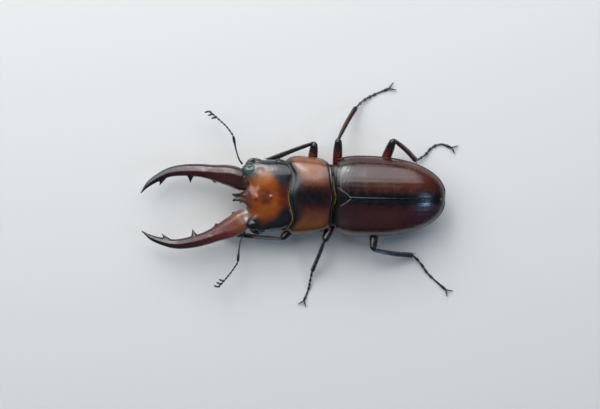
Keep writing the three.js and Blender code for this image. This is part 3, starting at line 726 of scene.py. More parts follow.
def make_elytron(side, tool):
    rows, columns = 150, 96
    turn = steps(rows)
    bend = np.clip((turn - DOME_STRAIGHT) / (1 - DOME_STRAIGHT), 0, 1) * math.pi / 2
    turn = np.where(turn < DOME_STRAIGHT, turn, DOME_STRAIGHT + (1 - DOME_STRAIGHT) * np.sin(bend) ** 1.15)
    turn = turn[:, None]
    v = eased(columns, 0.45, 0.55)[None]
    outer = dome(turn + 0 * v, v + 0 * turn, 0.0)
    n = np.cross(np.gradient(outer, axis=0), np.gradient(outer, axis=1))
    n /= np.maximum(np.linalg.norm(n, axis=-1, keepdims=True), TINY)
    n *= np.sign(n[rows // 2, columns // 2, 2])
    step = np.linalg.norm(np.diff(outer, axis=1), axis=-1)
    from_seam = np.concatenate((np.zeros((rows, 1)), np.cumsum(step, 1)), 1)
    lift, keep = elytron_lift(outer[..., 0], outer[..., 1], from_seam, from_seam[:, -1:] - from_seam)
    outer = outer + n * lift[..., None]
    inner = dome(turn + 0 * v, v + 0 * turn, ELYTRA["thick"])[:, ::-1]
    hem = []
    for k in (0.15, 0.35, 0.65, 0.85):
        strip = outer[:, -1] * (1 - k) + inner[:, 0] * k
        strip[:, 2] -= 0.22 * math.sin(math.pi * k) * keep[:, 0]
        hem.append(strip[:, None])
    loop = np.concatenate([outer] + hem + [inner], 1)
    loop[..., 0] += SEAM_STEP
    points, faces = grid(loop)
    last = loop.shape[1] - 1
    front = [(j, j + 1, last - 1 - j, last - j) for j in range(columns - 1)]
    front.append(tuple(range(columns - 1, last + 2 - columns)))
    return carved(placed(flipped((points, faces + front), side), in_rear), [tool])


def elytron_shade(p):
    x, y, z = turned(p, -ELYTRA_YAW).T
    side = np.abs(x)
    right = smooth(0.5, -0.5, x)
    return painted(
        mixed("#26080d", "#34100f", smooth(2, 6, side)),
        # Orange-brown towards the rear is the shell's colour; its extra strength on the right side is painted
        # light.
        ("#5c2914", (0.12 + 0.43 * right) * spot(side - 4.4, 3.2, y - 17.5, 7.0)),
        # Warm brown along the right side is a painted sheen, faint on the left.
        ("#543219", (0.06 + 0.44 * right) * spot(side - 3.6, 1.5, y - 10.5, 5.0)),
        ("#200a12", fade(1.5, 7, y) * 0.6),
        # Grey patch on the shoulder, strongest on the right side, is a painted reflection.
        ("#646761", (0.1 + 0.5 * right) * spot(side - 6.0, 1.9, y - 1.7, 1.9)),
        # Purple-grey over the rear of the left side is a painted reflection.
        ("#35283a", 0.55 * smooth(15, 21, y) * (1 - right)),
        ("#070508", fade(0.8, 2.1 - 0.4 * smooth(14, 22, y), side)),
        ("#120a0c", fade(0.2, 0.8, y - ELYTRA["front"])),
        ("#180b0c", fade(BODY_EDGE + 0.1, BODY_EDGE + 0.5, z) * 0.8),
        # Pale line along the raised rim beside the scutellum is a painted highlight.
        ("#8a8a84", 0.55 * bell(scutellum_gap(x, y) - 0.12, 0.12) * smooth(0.9, 1.3, y)))


# ---- under plates and waist


def coxa(name, grow, across, down):
    """Egg of a hip, grown all round."""
    pair, side = name.split("_")
    place, radii = COXAE[pair]
    return egg(mirrored(place, SIDES[side]), np.array(radii) + grow, across, down)


def hip_tools():
    tools = []
    for name in LEGS:
        tools += [coxa(name, HIP_ROOM, 32, 18), femur_shape(name, THIGH_ROOM, 18, 20)]
    return tools


def make_prosternum(tools):
    s = steps(50)
    top = PRONOTUM["hem"] - GAP * 0.4
    half, low = along([6.9, 7.7, 7.6, 6.8], s), BODY_LOW + along([0.5, 0, 0, 0.4], s)
    rings = lens_rings(s, half, low, top - 0.2, top, 120, lambda x: pronotum_front(x) + 2 * GAP,
                       level(PRONOTUM["rear"] - 0.3), 7, 2.1)
    return carved(grid(capped(rings)), tools)


def make_waist(tools):
    s = steps(16)
    swell = 1 - 0.03 * bell(s - 0.5, 0.3)
    rings = lens_rings(s, 7.3 * swell, BODY_LOW + 0.3, BODY_EDGE, 9.0 * swell, 140,
                       lambda x: pronotum_rear(x) - 0.5, level(ELYTRA["front"] + 0.7), 2.3, 2.1)
    return carved(grid(capped(rings)), tools)


def rear_plate(start, end, count, segments, keel, tools):
    """Plate under the elytra, stepped into segments, with a keel along its middle."""
    e = ELYTRA
    s = steps(count)
    reach = np.clip((start + (end - start) * s - e["middle"]) / (e["rear"] - e["thick"] - GAP - e["middle"]),
                    0, 0.999)
    taper = (1 - reach ** e["round"]) ** (1 / e["round"])
    inset = e["thick"] + 2 * GAP
    low = BODY_EDGE - (BODY_EDGE - BODY_LOW) * (0.35 + 0.65 * taper) - 0.16 * ((s * segments) % 1)
    height = (e["top"] - BODY_EDGE - inset - 0.25) * sinking(reach) * 0.97
    rings = lens_rings(s, (e["half_width"] - inset) * taper * 0.99, low, BODY_EDGE - 0.1,
                       BODY_EDGE + np.maximum(height, 0.3), 140, level(start), level(end), DOME_POWER, 2.0)
    rings[..., 2] += keel * bell(rings[..., 0], 0.35) * (rings[..., 2] < BODY_LOW + 1.0)
    return carved(placed(grid(capped(rings)), in_rear), tools)


def belly_shade(p):
    _, y, z = p.T
    colour = mixed("#2b100c", "#3d170f", 0.5 + 0.5 * np.sin(y * 1.3))
    return mixed(colour, PITCH, smooth(BODY_EDGE - 1.2, BODY_EDGE, z) * 0.8)


# ---- head

# Swellings and hollows of the skull, the same on both sides: height, x, its radius, y, its radius.
HEAD_BUMPS = [(-0.22, 2.5, 1.5, -8.0, 0.9), (-0.14, 1.5, 0.9, -5.4, 0.8), (0.12, 4.2, 2.0, -3.4, 2.2),
              (-0.16, 6.3, 0.9, -6.0, 0.9)]
TUBERCLES = [(-7.6, 0.5, 0.6), (-4.0, 0.32, 0.3)]  # place, radius, height
# Half width of the amber shield at places along the head.
AMBER_PLACES = [-10, -8.6, -6.2, -3.6, -1.3, 0.0]
AMBER_HALVES = [4.4, 5.2, 6.2, 5.0, 2.9, 2.0]


def head_front(x):
    side = np.abs(x)
    socket = 0.85 * smooth(1.2, 3, side) - 1.5 * smooth(3.4, 6.2, side)
    return -(9.75 - socket - 2.2 * smooth(6.9, 8.3, side))


def head_rear(x):
    return pronotum_front(x + HEAD_PIVOT[0]) - HEAD_PIVOT[1] + 0.25 - x * math.sin(HEAD_YAW)


def make_skull():
    s = eased(90, 0.6, 0.4)
    rim = 1 - 0.12 * fade(0, 0.12, s) - 0.05 * smooth(0.9, 1, s)
    rise = (HEAD["top"] - HEAD["edge"]) * along([0.66, 0.86, 0.97, 1, 1, 0.93], s) * rim
    rings = lens_rings(s, HEAD["half_width"] * along([0.96, 1, 1, 0.985, 0.975, 0.94], s),
                       HEAD["low"] + along([0.9, 0.35, 0, 0, 0.1, 0.5], s), HEAD["edge"], HEAD["edge"] + rise,
                       160, head_front, head_rear, 3.1, 2.6)
    return grid(capped(softened(rings, 0.5), 10))


def jaw_path(side):
    return [mirrored(place, side) for place in JAW_LINE]


def seat_jaw(points, side):
    return turned(points, JAW_SWING[side]) + JAW_BASE[side]


def jaw_socket(side):
    t = np.linspace(0, 0.45, 30)
    centre, forward, _ = route(jaw_path(side), t)
    centre[0] -= forward[0] * JAW_ROOM
    w, h = along(np.array(JAW_WIDTHS) + JAW_ROOM, t), along(np.array(JAW_HEIGHTS) + JAW_ROOM, t)
    rings = swept(centre, forward, (0, 0, 1), w, h, angles(48))
    return placed(grid(capped(rings, 3)), lambda points: seat_jaw(points, side))


def fork_shapes():
    """Two-pronged plate between the jaws, with a groove between two ridges."""
    t = steps(60)[:50, None]
    angle = angles(40)
    top = along([9.0, 9.15, 8.85, 8.3, 7.8, 7.4, 7.1], t)
    low = 6.1
    x = along([3.6, 2.9, 2.0, 1.35, 1.02, 0.9, 0.92, 0.95], t) * signed_power(np.cos(angle), 0.75)
    ridges = 0.34 * bell(np.abs(x) - 0.62, 0.24) - 0.1 * bell(x, 0.3)
    z = (top + low) / 2 + (top - low) / 2 * signed_power(np.sin(angle), 0.75)
    z = z + np.where(np.sin(angle) >= 0, ridges * smooth(0.25, 0.5, t), 0)
    shapes = [grid(capped(np.stack((x, -8.4 - 4.75 * t + 0 * x, z), -1), 4))]
    for s in (-1, 1):
        shapes.append(tube([(s * 0.3, -11.6, 6.85), (s * 0.5, -12.3, 6.8), (s * 0.82, -13.05, 6.7)],
                           [0.48, 0.44, 0.16], [0.5, 0.42, 0.16], 24, 18, blunt=0.8))
    return shapes


def make_head(eye_tools):
    shapes = [make_skull()] + fork_shapes()
    for side in (-1, 1):
        cheek = [(side * 7.1, -9.3, 7.5), (side * 8.2, -8.15, 7.45), (side * 8.5, -6.9, 7.3),
                 (side * 8.2, -5.9, 7.25)]
        shapes.append(egg((side * 6.3, -8.35, HEAD["brow"] - 0.55), (1.35, 1.75, 0.95)))
        shapes.append(tube(cheek, [0.5, 0.62, 0.42, 0.3], [0.36, 0.38, 0.3, 0.25], 30, 20))
        shapes.append(egg((side * 7.15, -6.6, 8.5), (0.85, 1.6, 0.62)))
        shapes.append(egg((side * 7.6, -1.7, 7.7), (0.75, 1.1, 0.95)))
    points, faces = fused(shapes, voxel=0.105, relax=7)
    x, y, z = points.T
    over = smooth(8.3, 9.4, z)
    lift = np.zeros(len(points))
    for side in (-1, 1):
        for height, place, width, row, depth in HEAD_BUMPS:
            lift += height * over * spot(x - side * place, width, y - row, depth)
        lift -= 0.22 * spot(x - side * 6.9, 0.3, y + 8.4, 0.75) * (z > 8)
    lift -= 0.06 * over * bell(x, 0.5) * smooth(-3.4, -1.6, y)
    for place, radius, height in TUBERCLES:
        far = np.hypot(x, y - place)
        lift += over * height * (0.85 * bell(far, radius) + 0.15 * bell(far, radius * 2.4))
    points[:, 2] += lift
    return placed(carved((points, faces), [jaw_socket(side) for side in (-1, 1)] + eye_tools), in_head)


def head_shade(p):
    x, y, z = off_head(p).T
    side = np.abs(x)
    right = smooth(1, -1, x)
    wobble = 0.1 * np.sin(y * 1.7 + 0.6) + 0.1 * np.sin(x * 2.3 + y)
    beyond = side - (np.interp(y, AMBER_PLACES, AMBER_HALVES) + wobble + right * bell(y + 5.0, 2.4))
    amber = painted(
        # Lighter amber over the raised lobes is painted light on them.
        mixed("#7c3a0a", "#934c0c", spot(side - 3.4, 1.9, y + 5.6, 2.4)),
        # Darker red-brown between the tubercles is painted shade in the hollow there.
        ("#4a1206", 0.9 * spot(side - 0.8, 1.1, y + 5.2, 1.4)),
        ("#471206", 0.85 * smooth(-3.6, -1.1, y)),
        # Pinkish brown along the front margin is a painted sheen.
        ("#6b3a28", 0.8 * fade(0.1, 1.1, y - head_front(x)) * smooth(0.4, 1.2, side)),
        # Peach on the right side is a painted sheen.
        ("#a26a4a", 0.85 * right * spot(side - 5.0, 1.5, y + 5.2, 2.6)),
        # Darker orange on the left side is painted shade, away from the light.
        ("#6c3004", 0.6 * (1 - right) * smooth(1.5, 3, side)))
    # The temples are black; their lighter blue-grey towards the right side is a painted reflection.
    temple = mixed("#0b0b10", "#20232c", right * fade(0.8, 3.5, beyond))
    fork = fade(-11.6, -10, y) * np.maximum(smooth(0.15, 0.5, side), fade(-12.7, -12.2, y))
    groove = fade(-11.2, -10.2, y) * smooth(-12.8, -12.3, y) * fade(0.1, 0.4, side)
    knob = np.minimum(1, 1.3 * spot(side - 6.2, 1.7, y + 8.3, 2.0)) * smooth(7.9, 8.7, z)
    return painted(
        amber,
        (temple, np.maximum(smooth(-1.5, 1.1, beyond), fade(HEAD["edge"] - 0.2, HEAD["edge"] + 1.3, z))),
        # Pinkish grey on the head's front slope is a painted reflection.
        ("#4c2f2a", 0.9 * fade(-9.4, -8, y) * fade(2.2, 3.6, side)),
        ("#0b0a0d", fork),
        # Grey down the middle of the fork is a painted highlight.
        ("#6a6764", 0.8 * groove * smooth(6.9, 7.1, z)),
        # The corner knobs are painted: black on the left as shade, grey-green on the right as a reflection.
        ("#0a0c10", 0.95 * knob * (1 - right)),
        ("#46534f", 0.9 * knob * right),
        # Near-black spot in the knob's pit is painted shade.
        ("#050506", spot(side - 6.9, 0.35, y + 8.4, 0.8) * smooth(7.6, 8.2, z)))


# ---- jaws


def make_jaw(side):
    t = steps(330)
    angle = angles(72)[None]
    centre, forward, length = route(JAW_LINE, t)
    w, h = along(JAW_WIDTHS, t), along(JAW_HEIGHTS, t)
    close = closing(np.minimum(t / 0.6, 1 - t) * length / np.minimum(w, h))
    across = unit(np.cross((0, 0, 1), forward))
    outward = across * np.sign(across[:, :1])
    rise = np.abs(np.cross(forward, across)[:, 2:]) * (0, 0, 1)
    # The roof falls from a crest towards both sides. crest is the crest's place across the jaw.
    crest = along([0.45, 0.38, 0.25, 0.08, -0.06, -0.12, -0.08, 0.0, 0.0, 0.0], t)[:, None]
    fall = along([0.26, 0.28, 0.32, 0.4, 0.48, 0.52, 0.52, 0.52, 0.52, 0.52], t)[:, None]
    over = np.sin(angle) >= 0
    x = signed_power(np.cos(angle), np.where(over, 0.85, 0.98))
    u = np.clip(np.where(x > crest, (x - crest) / (1 - crest), (crest - x) / (1 + crest)), 0, 1)
    z = np.where(over, 1 - fall * u**1.04 - (1 - fall) * u**9, signed_power(np.sin(angle), 0.98))
    ring = ringed(centre, outward, rise, (w * close)[:, None] * x, (h * close)[:, None] * z)
    d = (t * length)[:, None] + 0 * angle
    top = np.clip(np.sin(angle), 0, 1) ** 2
    lift = 0.03 * bell(d - 1.75, 0.3) - 0.035 * bell(d - 2.4, 0.35)
    lift = lift + 0.1 * bell(d - 11.6, 0.9) * bell(np.cos(angle) + 0.15, 0.35) * top
    lift = lift - 0.08 * bell(d - 10.3, 0.8) * bell(np.cos(angle) + 0.15, 0.4) * top
    for place, height, radius in JAW_KNOBS:
        lift = lift + height * bell(np.linalg.norm(ring[..., :2] - place, axis=-1), radius) * top
    ring = ring + normals_of(ring) * lift[..., None]
    for root, tip, radius in JAW_TEETH:
        tall = np.linalg.norm(np.subtract(tip, root))
        axis = np.subtract(tip, root) / tall
        gap = ring - root
        out = (gap * axis).sum(-1)
        far = np.linalg.norm((gap - out[..., None] * axis) * (1, 1, 1.15), axis=-1)
        cone = np.clip(1 - far / (radius * 1.35), 0, 1)
        push = np.maximum(tall - np.maximum(out, 0), 0) * cone**1.6
        ring = ring + axis * np.where(out > -0.4, push + 0.1 * bell(far, radius * 1.5), 0)[..., None]
    return placed(flipped(grid(ring), side), lambda points: in_head(seat_jaw(points, side)))


def jaw_shade(side):
    left = side > 0
    count, batch = 200, 4000
    line = in_head(seat_jaw(route(jaw_path(side), steps(count))[0], side))
    widths = np.maximum(along(JAW_WIDTHS, steps(count)), 0.3)

    def shade(p):
        near = np.empty(len(p), int)
        far = np.empty(len(p))
        for start in range(0, len(p), batch):
            gap = np.linalg.norm(p[start:start + batch, None, :2] - line[None, :, :2], axis=-1)
            near[start:start + batch] = gap.argmin(1)
            far[start:start + batch] = gap.min(1)
        t = near / (count - 1)
        colour = painted(
            # Lighter red on the left jaw than on the right is painted light.
            mixed("#5a2122" if left else "#3a1215", "#330f18", smooth(0.2, 0.65, t)),
            ("#77492c" if left else "#2c110e", 0.85 * fade(0.06, 0.28, t)),
            (BLACK, smooth(0.66, 0.86, t)))
        if not left:
            # Grey-blue over the outer half of the right jaw's tip is a painted reflection.
            outer = (line[near][:, 0] - p[:, 0]) / widths[near]
            colour = mixed(colour, "#4c5056", 0.6 * smooth(0.5, 0.75, t) * smooth(-0.1, 0.5, outer))
        colour = mixed(colour, BLACK, smooth(0.9, 1.08, far / widths[near]))
        # The pale on the polished knobs is a painted highlight, strong on the left jaw and faint on the
        # right.
        for (x, y), _, radius in JAW_KNOBS:
            knob = in_head(seat_jaw([(side * x, y, 0)], side))[0]
            pale = bell(np.linalg.norm((p - knob)[:, :2], axis=1), radius * 1.35) * (0.9 if left else 0.1)
            colour = mixed(colour, "#b5b1aa", pale)
        return mixed(colour, "#15090b", 0.8 * fade(0, 0.03, t))

    return shade


# ---- feelers and palps


def make_scape(points):
    return placed(tube(points, [0.26, 0.2, 0.17, 0.17, 0.19, 0.24, 0.34, 0.26], rings=70, sides=20), in_head)


def make_flagellum(scape, beaded, club):
    """Beads of the feeler's outer length, and the three leaves of its club."""
    path = [scape[-1]] + beaded + club[1:]
    shapes = []
    beads = 9
    for k in range(beads):
        wide = 0.24 + 0.03 * (k > 5)
        shapes.append(strand(path, k / beads, (k + 0.93) / beads, 7, [0.12, wide * 0.8, wide, wide * 0.9],
                             rings=16, sides=14, blunt=0.8))
    shapes.append(strand(path, 0, 1, 12, [0.12, 0.12], rings=60, sides=10))
    start = np.array(club[0])
    ahead = club[1] - start
    across = unit((-np.sign(start[0]) * 0.2, -0.85, -0.5))
    for t in (0.1, 0.5, 0.9):
        root = start + ahead * t
        tip = root + across * 1.35
        shapes.append(tube([root, (root + tip) / 2 + unit(ahead) * 0.12, tip], [0.16, 0.3, 0.38, 0.26],
                           [0.2, 0.24, 0.22, 0.16], 20, 16, up=unit(ahead), blunt=0.8))
    return placed(fused(shapes, voxel=0.05, relax=2), in_head)


def make_palp(points):
    shapes = []
    for k, end in enumerate((0.28, 0.28, 0.34)):
        shapes.append(strand(points, k / 3, (k + 0.97) / 3, 7, [0.16, 0.22, end, end * 0.8],
                             [0.16, 0.2, end * 0.85, end * 0.7], rings=18, sides=16, blunt=0.8))
    shapes.append(strand(points, 0, 0.9, 10, [0.14, 0.14], rings=40, sides=10))
    return placed(fused(shapes, voxel=0.05, relax=2), in_head)


def black_shade(p):
    return mixed("#100d10", "#1b1415", 0.5 + 0.5 * np.sin(p[:, 2] * 3 + p[:, 0]))


# ---- legs


def joints_of(name):
    return [np.array(place) for place in LEGS[name]]


def share_along(p, start, end):
    return ((p - start) @ (end - start)) / ((end - start) @ (end - start))


def femur_shape(name, grow=0.0, rings=60, sides=36):
    hip, knee = joints_of(name)[:2]
    profile = np.array([0.55, 1.0, 1.12, 1.04, 0.78]) + grow
    reach = unit(knee - hip)
    middle = (hip + knee) / 2 + np.array((0, 0, 0.12))
    path = [hip - reach * grow, middle, knee + reach * grow]
    return tube(path, profile, profile * 0.88, rings, sides, blunt=0.8)


def make_femur(name):
    hip, knee, ankle = joints_of(name)[:3]
    reach, down = unit(knee - hip), unit(ankle - knee)
    knob = egg(knee - reach * 0.35 + (0, 0, 0.08), (0.6, 0.6, 0.5), 24, 16)
    slot_tool = tube([knee - reach * 0.25 + down * 0.1, knee + down * 1.6 + reach * 0.1],
                     [0.36, 0.4], [0.62, 0.7], 14, 18, blunt=0.6)
    thigh = fused([femur_shape(name), knob], voxel=0.075, relax=3)
    return carved(thigh, [coxa(name, THIGH_ROOM, 32, 20), slot_tool])


def femur_shade(name):
    hip, knee = joints_of(name)[:2]

    def shade(p):
        t = share_along(p, hip, knee)
        return painted(mixed("#560c08", "#2c0a0a", smooth(0.55, 0.8, t)), (BLACK, smooth(0.76, 0.9, t)),
                       (PITCH, fade(0.05, 0.25, t)))

    return shade


def make_tibia(name):
    """Ridged shin with thorns. The front pair digs, so it is toothed along its outer edge."""
    digging = name.startswith("front")
    knee, ankle = joints_of(name)[1:3]
    axis = ankle - knee
    outward = -unit(np.cross(np.cross((np.sign(knee[0]), -0.3, 0.55), axis), axis))
    across = unit(np.cross(axis, outward))
    t = steps(110)
    start = knee - unit(axis) * 0.05
    centre, forward, _ = route([start, start + axis * 0.5 + outward * (0.15 if digging else 0.25), ankle], t)
    w = along([0.36, 0.44, 0.48, 0.56, 0.66] if digging else [0.38, 0.5, 0.54, 0.55, 0.6], t)
    close = closing(np.minimum(t, 1 - t) * np.linalg.norm(axis) / (w * 0.8))
    side = unit(np.cross(outward, forward))
    angle = angles(48)
    ridge = 1 + 0.07 * np.cos(angle * 6)
    shapes = [grid(ringed(centre, side, np.cross(forward, side),
                          (w * close * 0.86)[:, None] * (ridge * np.cos(angle)),
                          (w * close * 1.08)[:, None] * (ridge * np.sin(angle))))]

    def at(share, out, over=0.0):
        return knee + axis * share + outward * out + across * over

    teeth = (0.36, 0.5, 0.64, 0.8) if digging else (0.56,)
    for k, share in enumerate(teeth):
        size = 0.62 + 0.14 * k if digging else 0.85
        shapes.append(thorn(at(share - 0.01, 0.18), at(share + 0.055, size + 0.05), 0.27, bend=axis * 0.012))
    if digging:
        shapes.append(thorn(at(0.93, 0.2), at(1.04, 1.35), 0.36, bend=axis * 0.02))
    shapes.append(thorn(at(0.95, -0.1, 0.2), at(1.09, -0.65, 0.5), 0.2))
    shapes.append(thorn(at(0.95, -0.1, -0.2), at(1.08, -0.55, -0.5), 0.2))
    for turn in angles(6):
        out, over = math.cos(turn), math.sin(turn)
        shapes.append(thorn(at(0.965, 0.3 * out, 0.3 * over), at(1.02, 0.55 * out, 0.52 * over), 0.12,
                            sides=8, rings=8))
    return fused(shapes, voxel=0.06, relax=2)


def tibia_shade(name):
    knee, ankle = joints_of(name)[1:3]
    warm = {"hind_right": 1.0, "middle_right": 0.7}.get(name, 0.0)
    # Blue-grey over the middle of the left shins is a painted sheen; the warm red of the right shins is their
    # colour.
    blue_sheen = {"hind_left": 0.8, "middle_left": 0.5}.get(name, 0.0)

    def shade(p):
        t = share_along(p, knee, ankle)
        middle = smooth(0.08, 0.3, t) * smooth(1, 0.75, t)
        return painted("#131013", ("#3c1210", warm * middle), ("#242334", blue_sheen * middle),
                       (BLACK, smooth(0.9, 1, t) * 0.6))

    return shade


# Points along a claw: ahead of the toe, out to its side, height.
CLAW = [(-0.15, 0.1, 0.42), (0.35, 0.42, 0.62), (0.85, 0.78, 0.55), (1.3, 0.98, 0.12)]


def make_tarsus(name):
    """Five foot joints and a pair of claws, cut off at the floor."""
    knee, ankle, *foot = joints_of(name)[1:]
    path = [ankle + unit(ankle - knee) * 0.05] + foot
    cuts = [0.0, 0.2, 0.36, 0.5, 0.64, 1.0]
    shapes = []
    for k in range(5):
        mid, end = (0.25, 0.36) if k < 4 else (0.22, 0.33)
        shapes.append(strand(path, cuts[k], cuts[k + 1] - 0.012, 9, [0.15, mid, mid + 0.02, end, end * 0.7],
                             rings=26, sides=18, blunt=0.7))
    shapes.append(strand(path, 0, 0.97, 14, [0.17, 0.17], rings=80, sides=12))
    toe = foot[-1] * (1, 1, 0)
    ahead = unit((foot[-1] - foot[-2]) * (1, 1, 0))
    across = np.array((-ahead[1], ahead[0], 0))
    for s in (-1, 1):
        claw = [toe + ahead * f + across * (s * out) + (0, 0, height) for f, out, height in CLAW]
        shapes.append(tube(claw, [0.17, 0.16, 0.12, 0.05], rings=30, sides=14, blunt=0.6))
    points, faces = fused(shapes, voxel=0.055, relax=2)
    points[:, 2] = np.maximum(points[:, 2], 0.0)
    return points, faces


# ---- hair

TUFT_PATCH = 0.003  # width of a hair's patch on its map, as a share of the map
HAIR_THICK = 0.03
HAIR_SEED = 7
# Height and width of the pronotum's upper side at its front and rear margins, as in make_pronotum.
RIM_HALVES = (8.5 * 0.955, 8.1 * 0.95)
RIM_RISES = (0.84 * 0.955, 0.92 * 0.95)
FRINGES = {
    "front_fringe": {"end": 0, "hairs": 1500, "set_back": 0.1, "sink": 0.02, "scatter": 0.14, "fan": 0.05,
                     "ahead": -1.0, "rise": 0.4, "longest": 0.48, "row": 0.02, "droop": 0.35},
    "rear_fringe": {"end": 1, "hairs": 800, "set_back": -0.08, "sink": 0.1, "scatter": 0.2, "fan": 0.0,
                    "ahead": 1.0, "rise": 0.1, "longest": 0.55, "row": 0.97, "droop": 0.3},
}


def hairs(roots, ahead, lengths, droop):
    """Curved tapering hairs, three-sided, joined into one shape. Also gives each point's hair."""
    points, faces, owner = [], [], []
    high = np.array((0, 0, 1))
    for k, (root, forward, length) in enumerate(zip(roots, ahead, lengths)):
        forward = unit(forward)
        side = unit(np.cross(forward, (0.12, 0.2, 1)))
        rise = np.cross(side, forward)
        start = len(points)
        for t in (0.0, 0.4, 0.75):
            centre = root + forward * length * t - high * droop * length * t * t
            radius = HAIR_THICK * (1 - 0.8 * t)
            for turn in (0.5, 2.6, 4.7):
                points.append(centre + radius * (math.cos(turn) * side + math.sin(turn) * rise))
        points.append(root + forward * length - high * droop * length)
        ring = [(start + j, start + (j + 1) % 3) for j in range(3)]
        faces += [(a + up, b + up, b + up + 3, a + up + 3) for up in (0, 3) for a, b in ring]
        faces += [(a + 6, b + 6, start + 9) for a, b in ring]
        faces.append((start + 2, start + 1, start))
        owner += [k] * (len(points) - start)
    return np.array(points), faces, np.array(owner)


def hair_piece(name, slot, shape, skin_places, shade):
    """Makes a coat piece. Its OFBake map holds a patch per hair, at its root's place on the skin's unwrap."""
    points, faces, owner = shape
    mesh = bpy.data.meshes.new(name)
    mesh.from_pydata(to_row(points).tolist(), [], faces)
    corner = np.empty(len(mesh.loops), int)
    mesh.loops.foreach_get("vertex_index", corner)
    local = np.arange(len(points)) % 10 / 9
    patch = np.stack((local, (local * 3) % 1), 1) * TUFT_PATCH
    uv = np.asarray(skin_places)[owner[corner]] + patch[corner]
    mesh.uv_layers.new(name="OFBake").data.foreach_set("uv", uv.ravel())
    dress(added(name, mesh), points, HAIR, shade, slot)


def golden(p):
    bright = mixed("#6b5226", "#a37e3c", 0.5 + 0.5 * np.sin(p[:, 0] * 41.0))
    return mixed(bright, "#5e5a44", smooth(3, 7, -p[:, 0]))


def hair_place(rng, end):
    """Place across the body. Most rear hairs stand right of the middle."""
    if end == 0:
        return rng.uniform(-8.0, 8.0)
    return rng.uniform(-4.8, 1.6) if rng.random() < 0.93 else rng.uniform(-7.2, 7.2)


def make_fringes():
    rng = random.Random(HAIR_SEED)
    for name, f in FRINGES.items():
        end = f["end"]
        margin = (pronotum_front, pronotum_rear)[end]
        roots, ahead, lengths, places = [], [], [], []
        for _ in range(f["hairs"]):
            x = hair_place(rng, end)
            share = np.clip(np.abs(x) / RIM_HALVES[end], 0, 1)
            rim = BODY_EDGE + (PRONOTUM["top"] - BODY_EDGE) * RIM_RISES[end] * (1 - share**2.5) ** 0.4
            height = rim - f["sink"] - rng.random() * f["scatter"]
            roots.append(np.array((x, margin(x) + f["set_back"], height)))
            ahead.append((rng.gauss(0, 0.25) + f["fan"] * x, f["ahead"], f["rise"] + rng.gauss(0, 0.12)))
            lengths.append(rng.uniform(0.3, f["longest"]))
            places.append((0.5 + x / 20, f["row"] + 0.01 * rng.random()))
        hair_piece(name, "amber", hairs(roots, ahead, lengths, f["droop"]), places, golden)


# ---- all pieces


def eyeball(side, grow, across, down):
    return egg(mirrored(EYE_PLACE, side), np.array(EYE_RADII) + grow, across, down)


shield_depth = SCUTELLUM["depth"]
elytra_tool = shield(SHIELD_ROOM, shield_depth + 3, ELYTRA["top"] - 0.55 - shield_depth - GAP)
tools = hip_tools()
piece("pronotum_shell", "pronotum", "pronotum", make_pronotum(), SHELL, pronotum_shade)
for word, sign in SIDES.items():
    piece(f"elytron_shell_{word}", f"elytron_{word}", "elytron", make_elytron(sign, elytra_tool), WING_SHELL,
          elytron_shade, crease=50)
piece("scutellum_shell", "scutellum", "black", shield(0, shield_depth, ELYTRA["top"] - 0.45 - shield_depth),
      SHELL, plain("#0c090c"))
for plate, node, slot, shape, shade in (
        ("prosternum_plate", "prosternum", "underside", make_prosternum(tools), belly_shade),
        ("mesothorax_ring", "mesothorax", "black", make_waist(tools), plain("#050405")),
        ("metathorax_plate", "metathorax", "underside",
         rear_plate(ELYTRA["front"] + 0.35, WAIST_SEAM - GAP, 60, 0, 0.14, tools), belly_shade),
        ("abdomen_plates", "abdomen", "underside",
         rear_plate(WAIST_SEAM, ABDOMEN_TIP, 130, 5, 0, tools), belly_shade)):
    piece(plate, node, slot, shape, BELLY_SHELL, shade, crease=40)
eye_tools = [eyeball(sign, EYE_ROOM, 64, 40) for sign in SIDES.values()]
piece("head_capsule", "head", "amber", make_head(eye_tools), HEAD_SHELL, head_shade, crease=50)

for word, sign in SIDES.items():
    piece(f"eye_ball_{word}", f"eye_{word}", "eye", placed(eyeball(sign, 0, 96, 60), in_head), EYE_SHELL,
          plain("#0c0c10"))
    piece(f"jaw_{word}", f"mandible_{word}", "jaw", make_jaw(sign), JAW_SHELL, jaw_shade(sign))
    piece(f"scape_{word}", f"antenna_scape_{word}", "black", make_scape(FEELERS[word][0]), LIMB_SHELL,
          black_shade)
    piece(f"feeler_club_{word}", f"antenna_club_{word}", "black", make_flagellum(*FEELERS[word]), LIMB_SHELL,
          black_shade)
    for kind, points in PALPS.items():
        palp = make_palp([mirrored(place, sign) for place in points])
        piece(f"{kind}_feeler_{word}", f"{kind}_palp_{word}", "black", palp, LIMB_SHELL, black_shade)

for name in LEGS:
    piece(f"hip_{name}", f"coxa_{name}", "underside", coxa(name, 0, 56, 36), BELLY_SHELL, belly_shade)
    piece(f"thigh_{name}", f"femur_{name}", "thigh", make_femur(name), LIMB_SHELL, femur_shade(name),
          crease=50)
    piece(f"shin_{name}", f"tibia_{name}", "black", make_tibia(name), LIMB_SHELL, tibia_shade(name))
    piece(f"foot_{name}", f"tarsus_{name}", "black", make_tarsus(name), LIMB_SHELL, black_shade)

make_fringes()

# ---- floor and light, in metres

FLOOR_HALF = 0.45
FLOOR_COLOUR = (0.7, 0.69, 0.67, 1)
FLOOR_ROUGH = 0.85
SKY_COLOUR = (0.62, 0.68, 0.78, 1)
SKY_POWER = 0.1
BACKDROP_COLOUR = (0.64, 0.66, 0.68, 1)
LIGHT_TARGET = np.array((0, 0, 0.006))
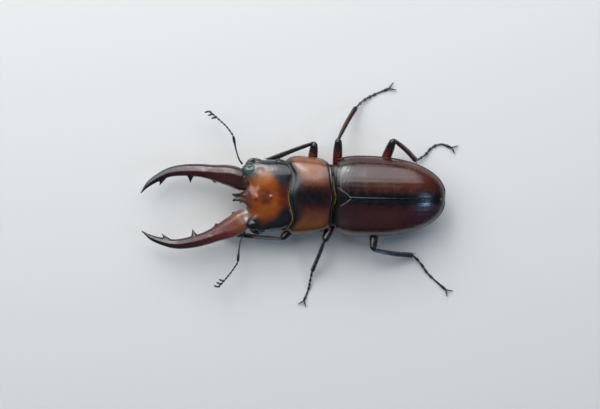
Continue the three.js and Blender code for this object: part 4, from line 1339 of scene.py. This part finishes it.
# Direction and elevation in degrees, distance, width, length over width, power, colour.
LIGHTS = {
    "window": (14, 47, 0.45, 1.0, 0.46, 3.9, (0.92, 0.96, 1.0)),
    "key": (17, 40, 0.42, 0.13, 1.9, 0.62, (1.0, 0.98, 0.95)),
    "rear_glow": (-103, 43, 0.5, 0.05, 2.0, 0.26, (0.4, 0.65, 1.0)),
    "left_veil": (160, 50, 0.6, 0.8, 0.7, 0.17, (0.75, 0.85, 1.0)),
}


def make_floor():
    mesh = bpy.data.meshes.new("floor")
    corners = [(x * FLOOR_HALF, y * FLOOR_HALF, 0) for x, y in ((-1, -1), (1, -1), (1, 1), (-1, 1))]
    mesh.from_pydata(corners, [], [(0, 1, 2, 3)])
    floor = added("floor", mesh)
    material = bpy.data.materials.new("floor")
    material.use_nodes = True
    skin = material.node_tree.nodes["Principled BSDF"]
    skin.inputs["Base Color"].default_value = FLOOR_COLOUR
    skin.inputs["Roughness"].default_value = FLOOR_ROUGH
    mesh.materials.append(material)


def make_world():
    """Dim all-round light, with a pale even background behind the floor's edge."""
    world = bpy.data.worlds.new("studio")
    world.use_nodes = True
    tree = world.node_tree
    dim = tree.nodes["Background"]
    dim.inputs["Color"].default_value = SKY_COLOUR
    dim.inputs["Strength"].default_value = SKY_POWER
    pale = add_node(tree, "ShaderNodeBackground", {"Color": BACKDROP_COLOUR})
    camera_ray = add_node(tree, "ShaderNodeLightPath", {})
    choice = add_node(tree, "ShaderNodeMixShader", {"Fac": camera_ray, 1: dim.outputs["Background"], 2: pale})
    tree.links.new(choice, tree.nodes["World Output"].inputs["Surface"])
    bpy.context.scene.world = world


def make_lights():
    for name, (towards, elevation, distance, size, stretch, power, colour) in LIGHTS.items():
        flat, up = math.radians(towards), math.radians(elevation)
        place = LIGHT_TARGET + distance * np.array((-math.cos(flat) * math.cos(up),
                                                    -math.sin(flat) * math.cos(up), math.sin(up)))
        data = bpy.data.lights.new(name, "AREA")
        data.shape = "RECTANGLE"
        data.size = size
        data.size_y = size * stretch
        data.energy = power
        data.color = colour
        light = added(name, data)
        light.location = place
        light.rotation_euler = (Vector(LIGHT_TARGET) - Vector(place)).to_track_quat("-Z", "Y").to_euler()


make_floor()
make_world()
make_lights()
bpy.context.scene.view_settings.view_transform = "Standard"
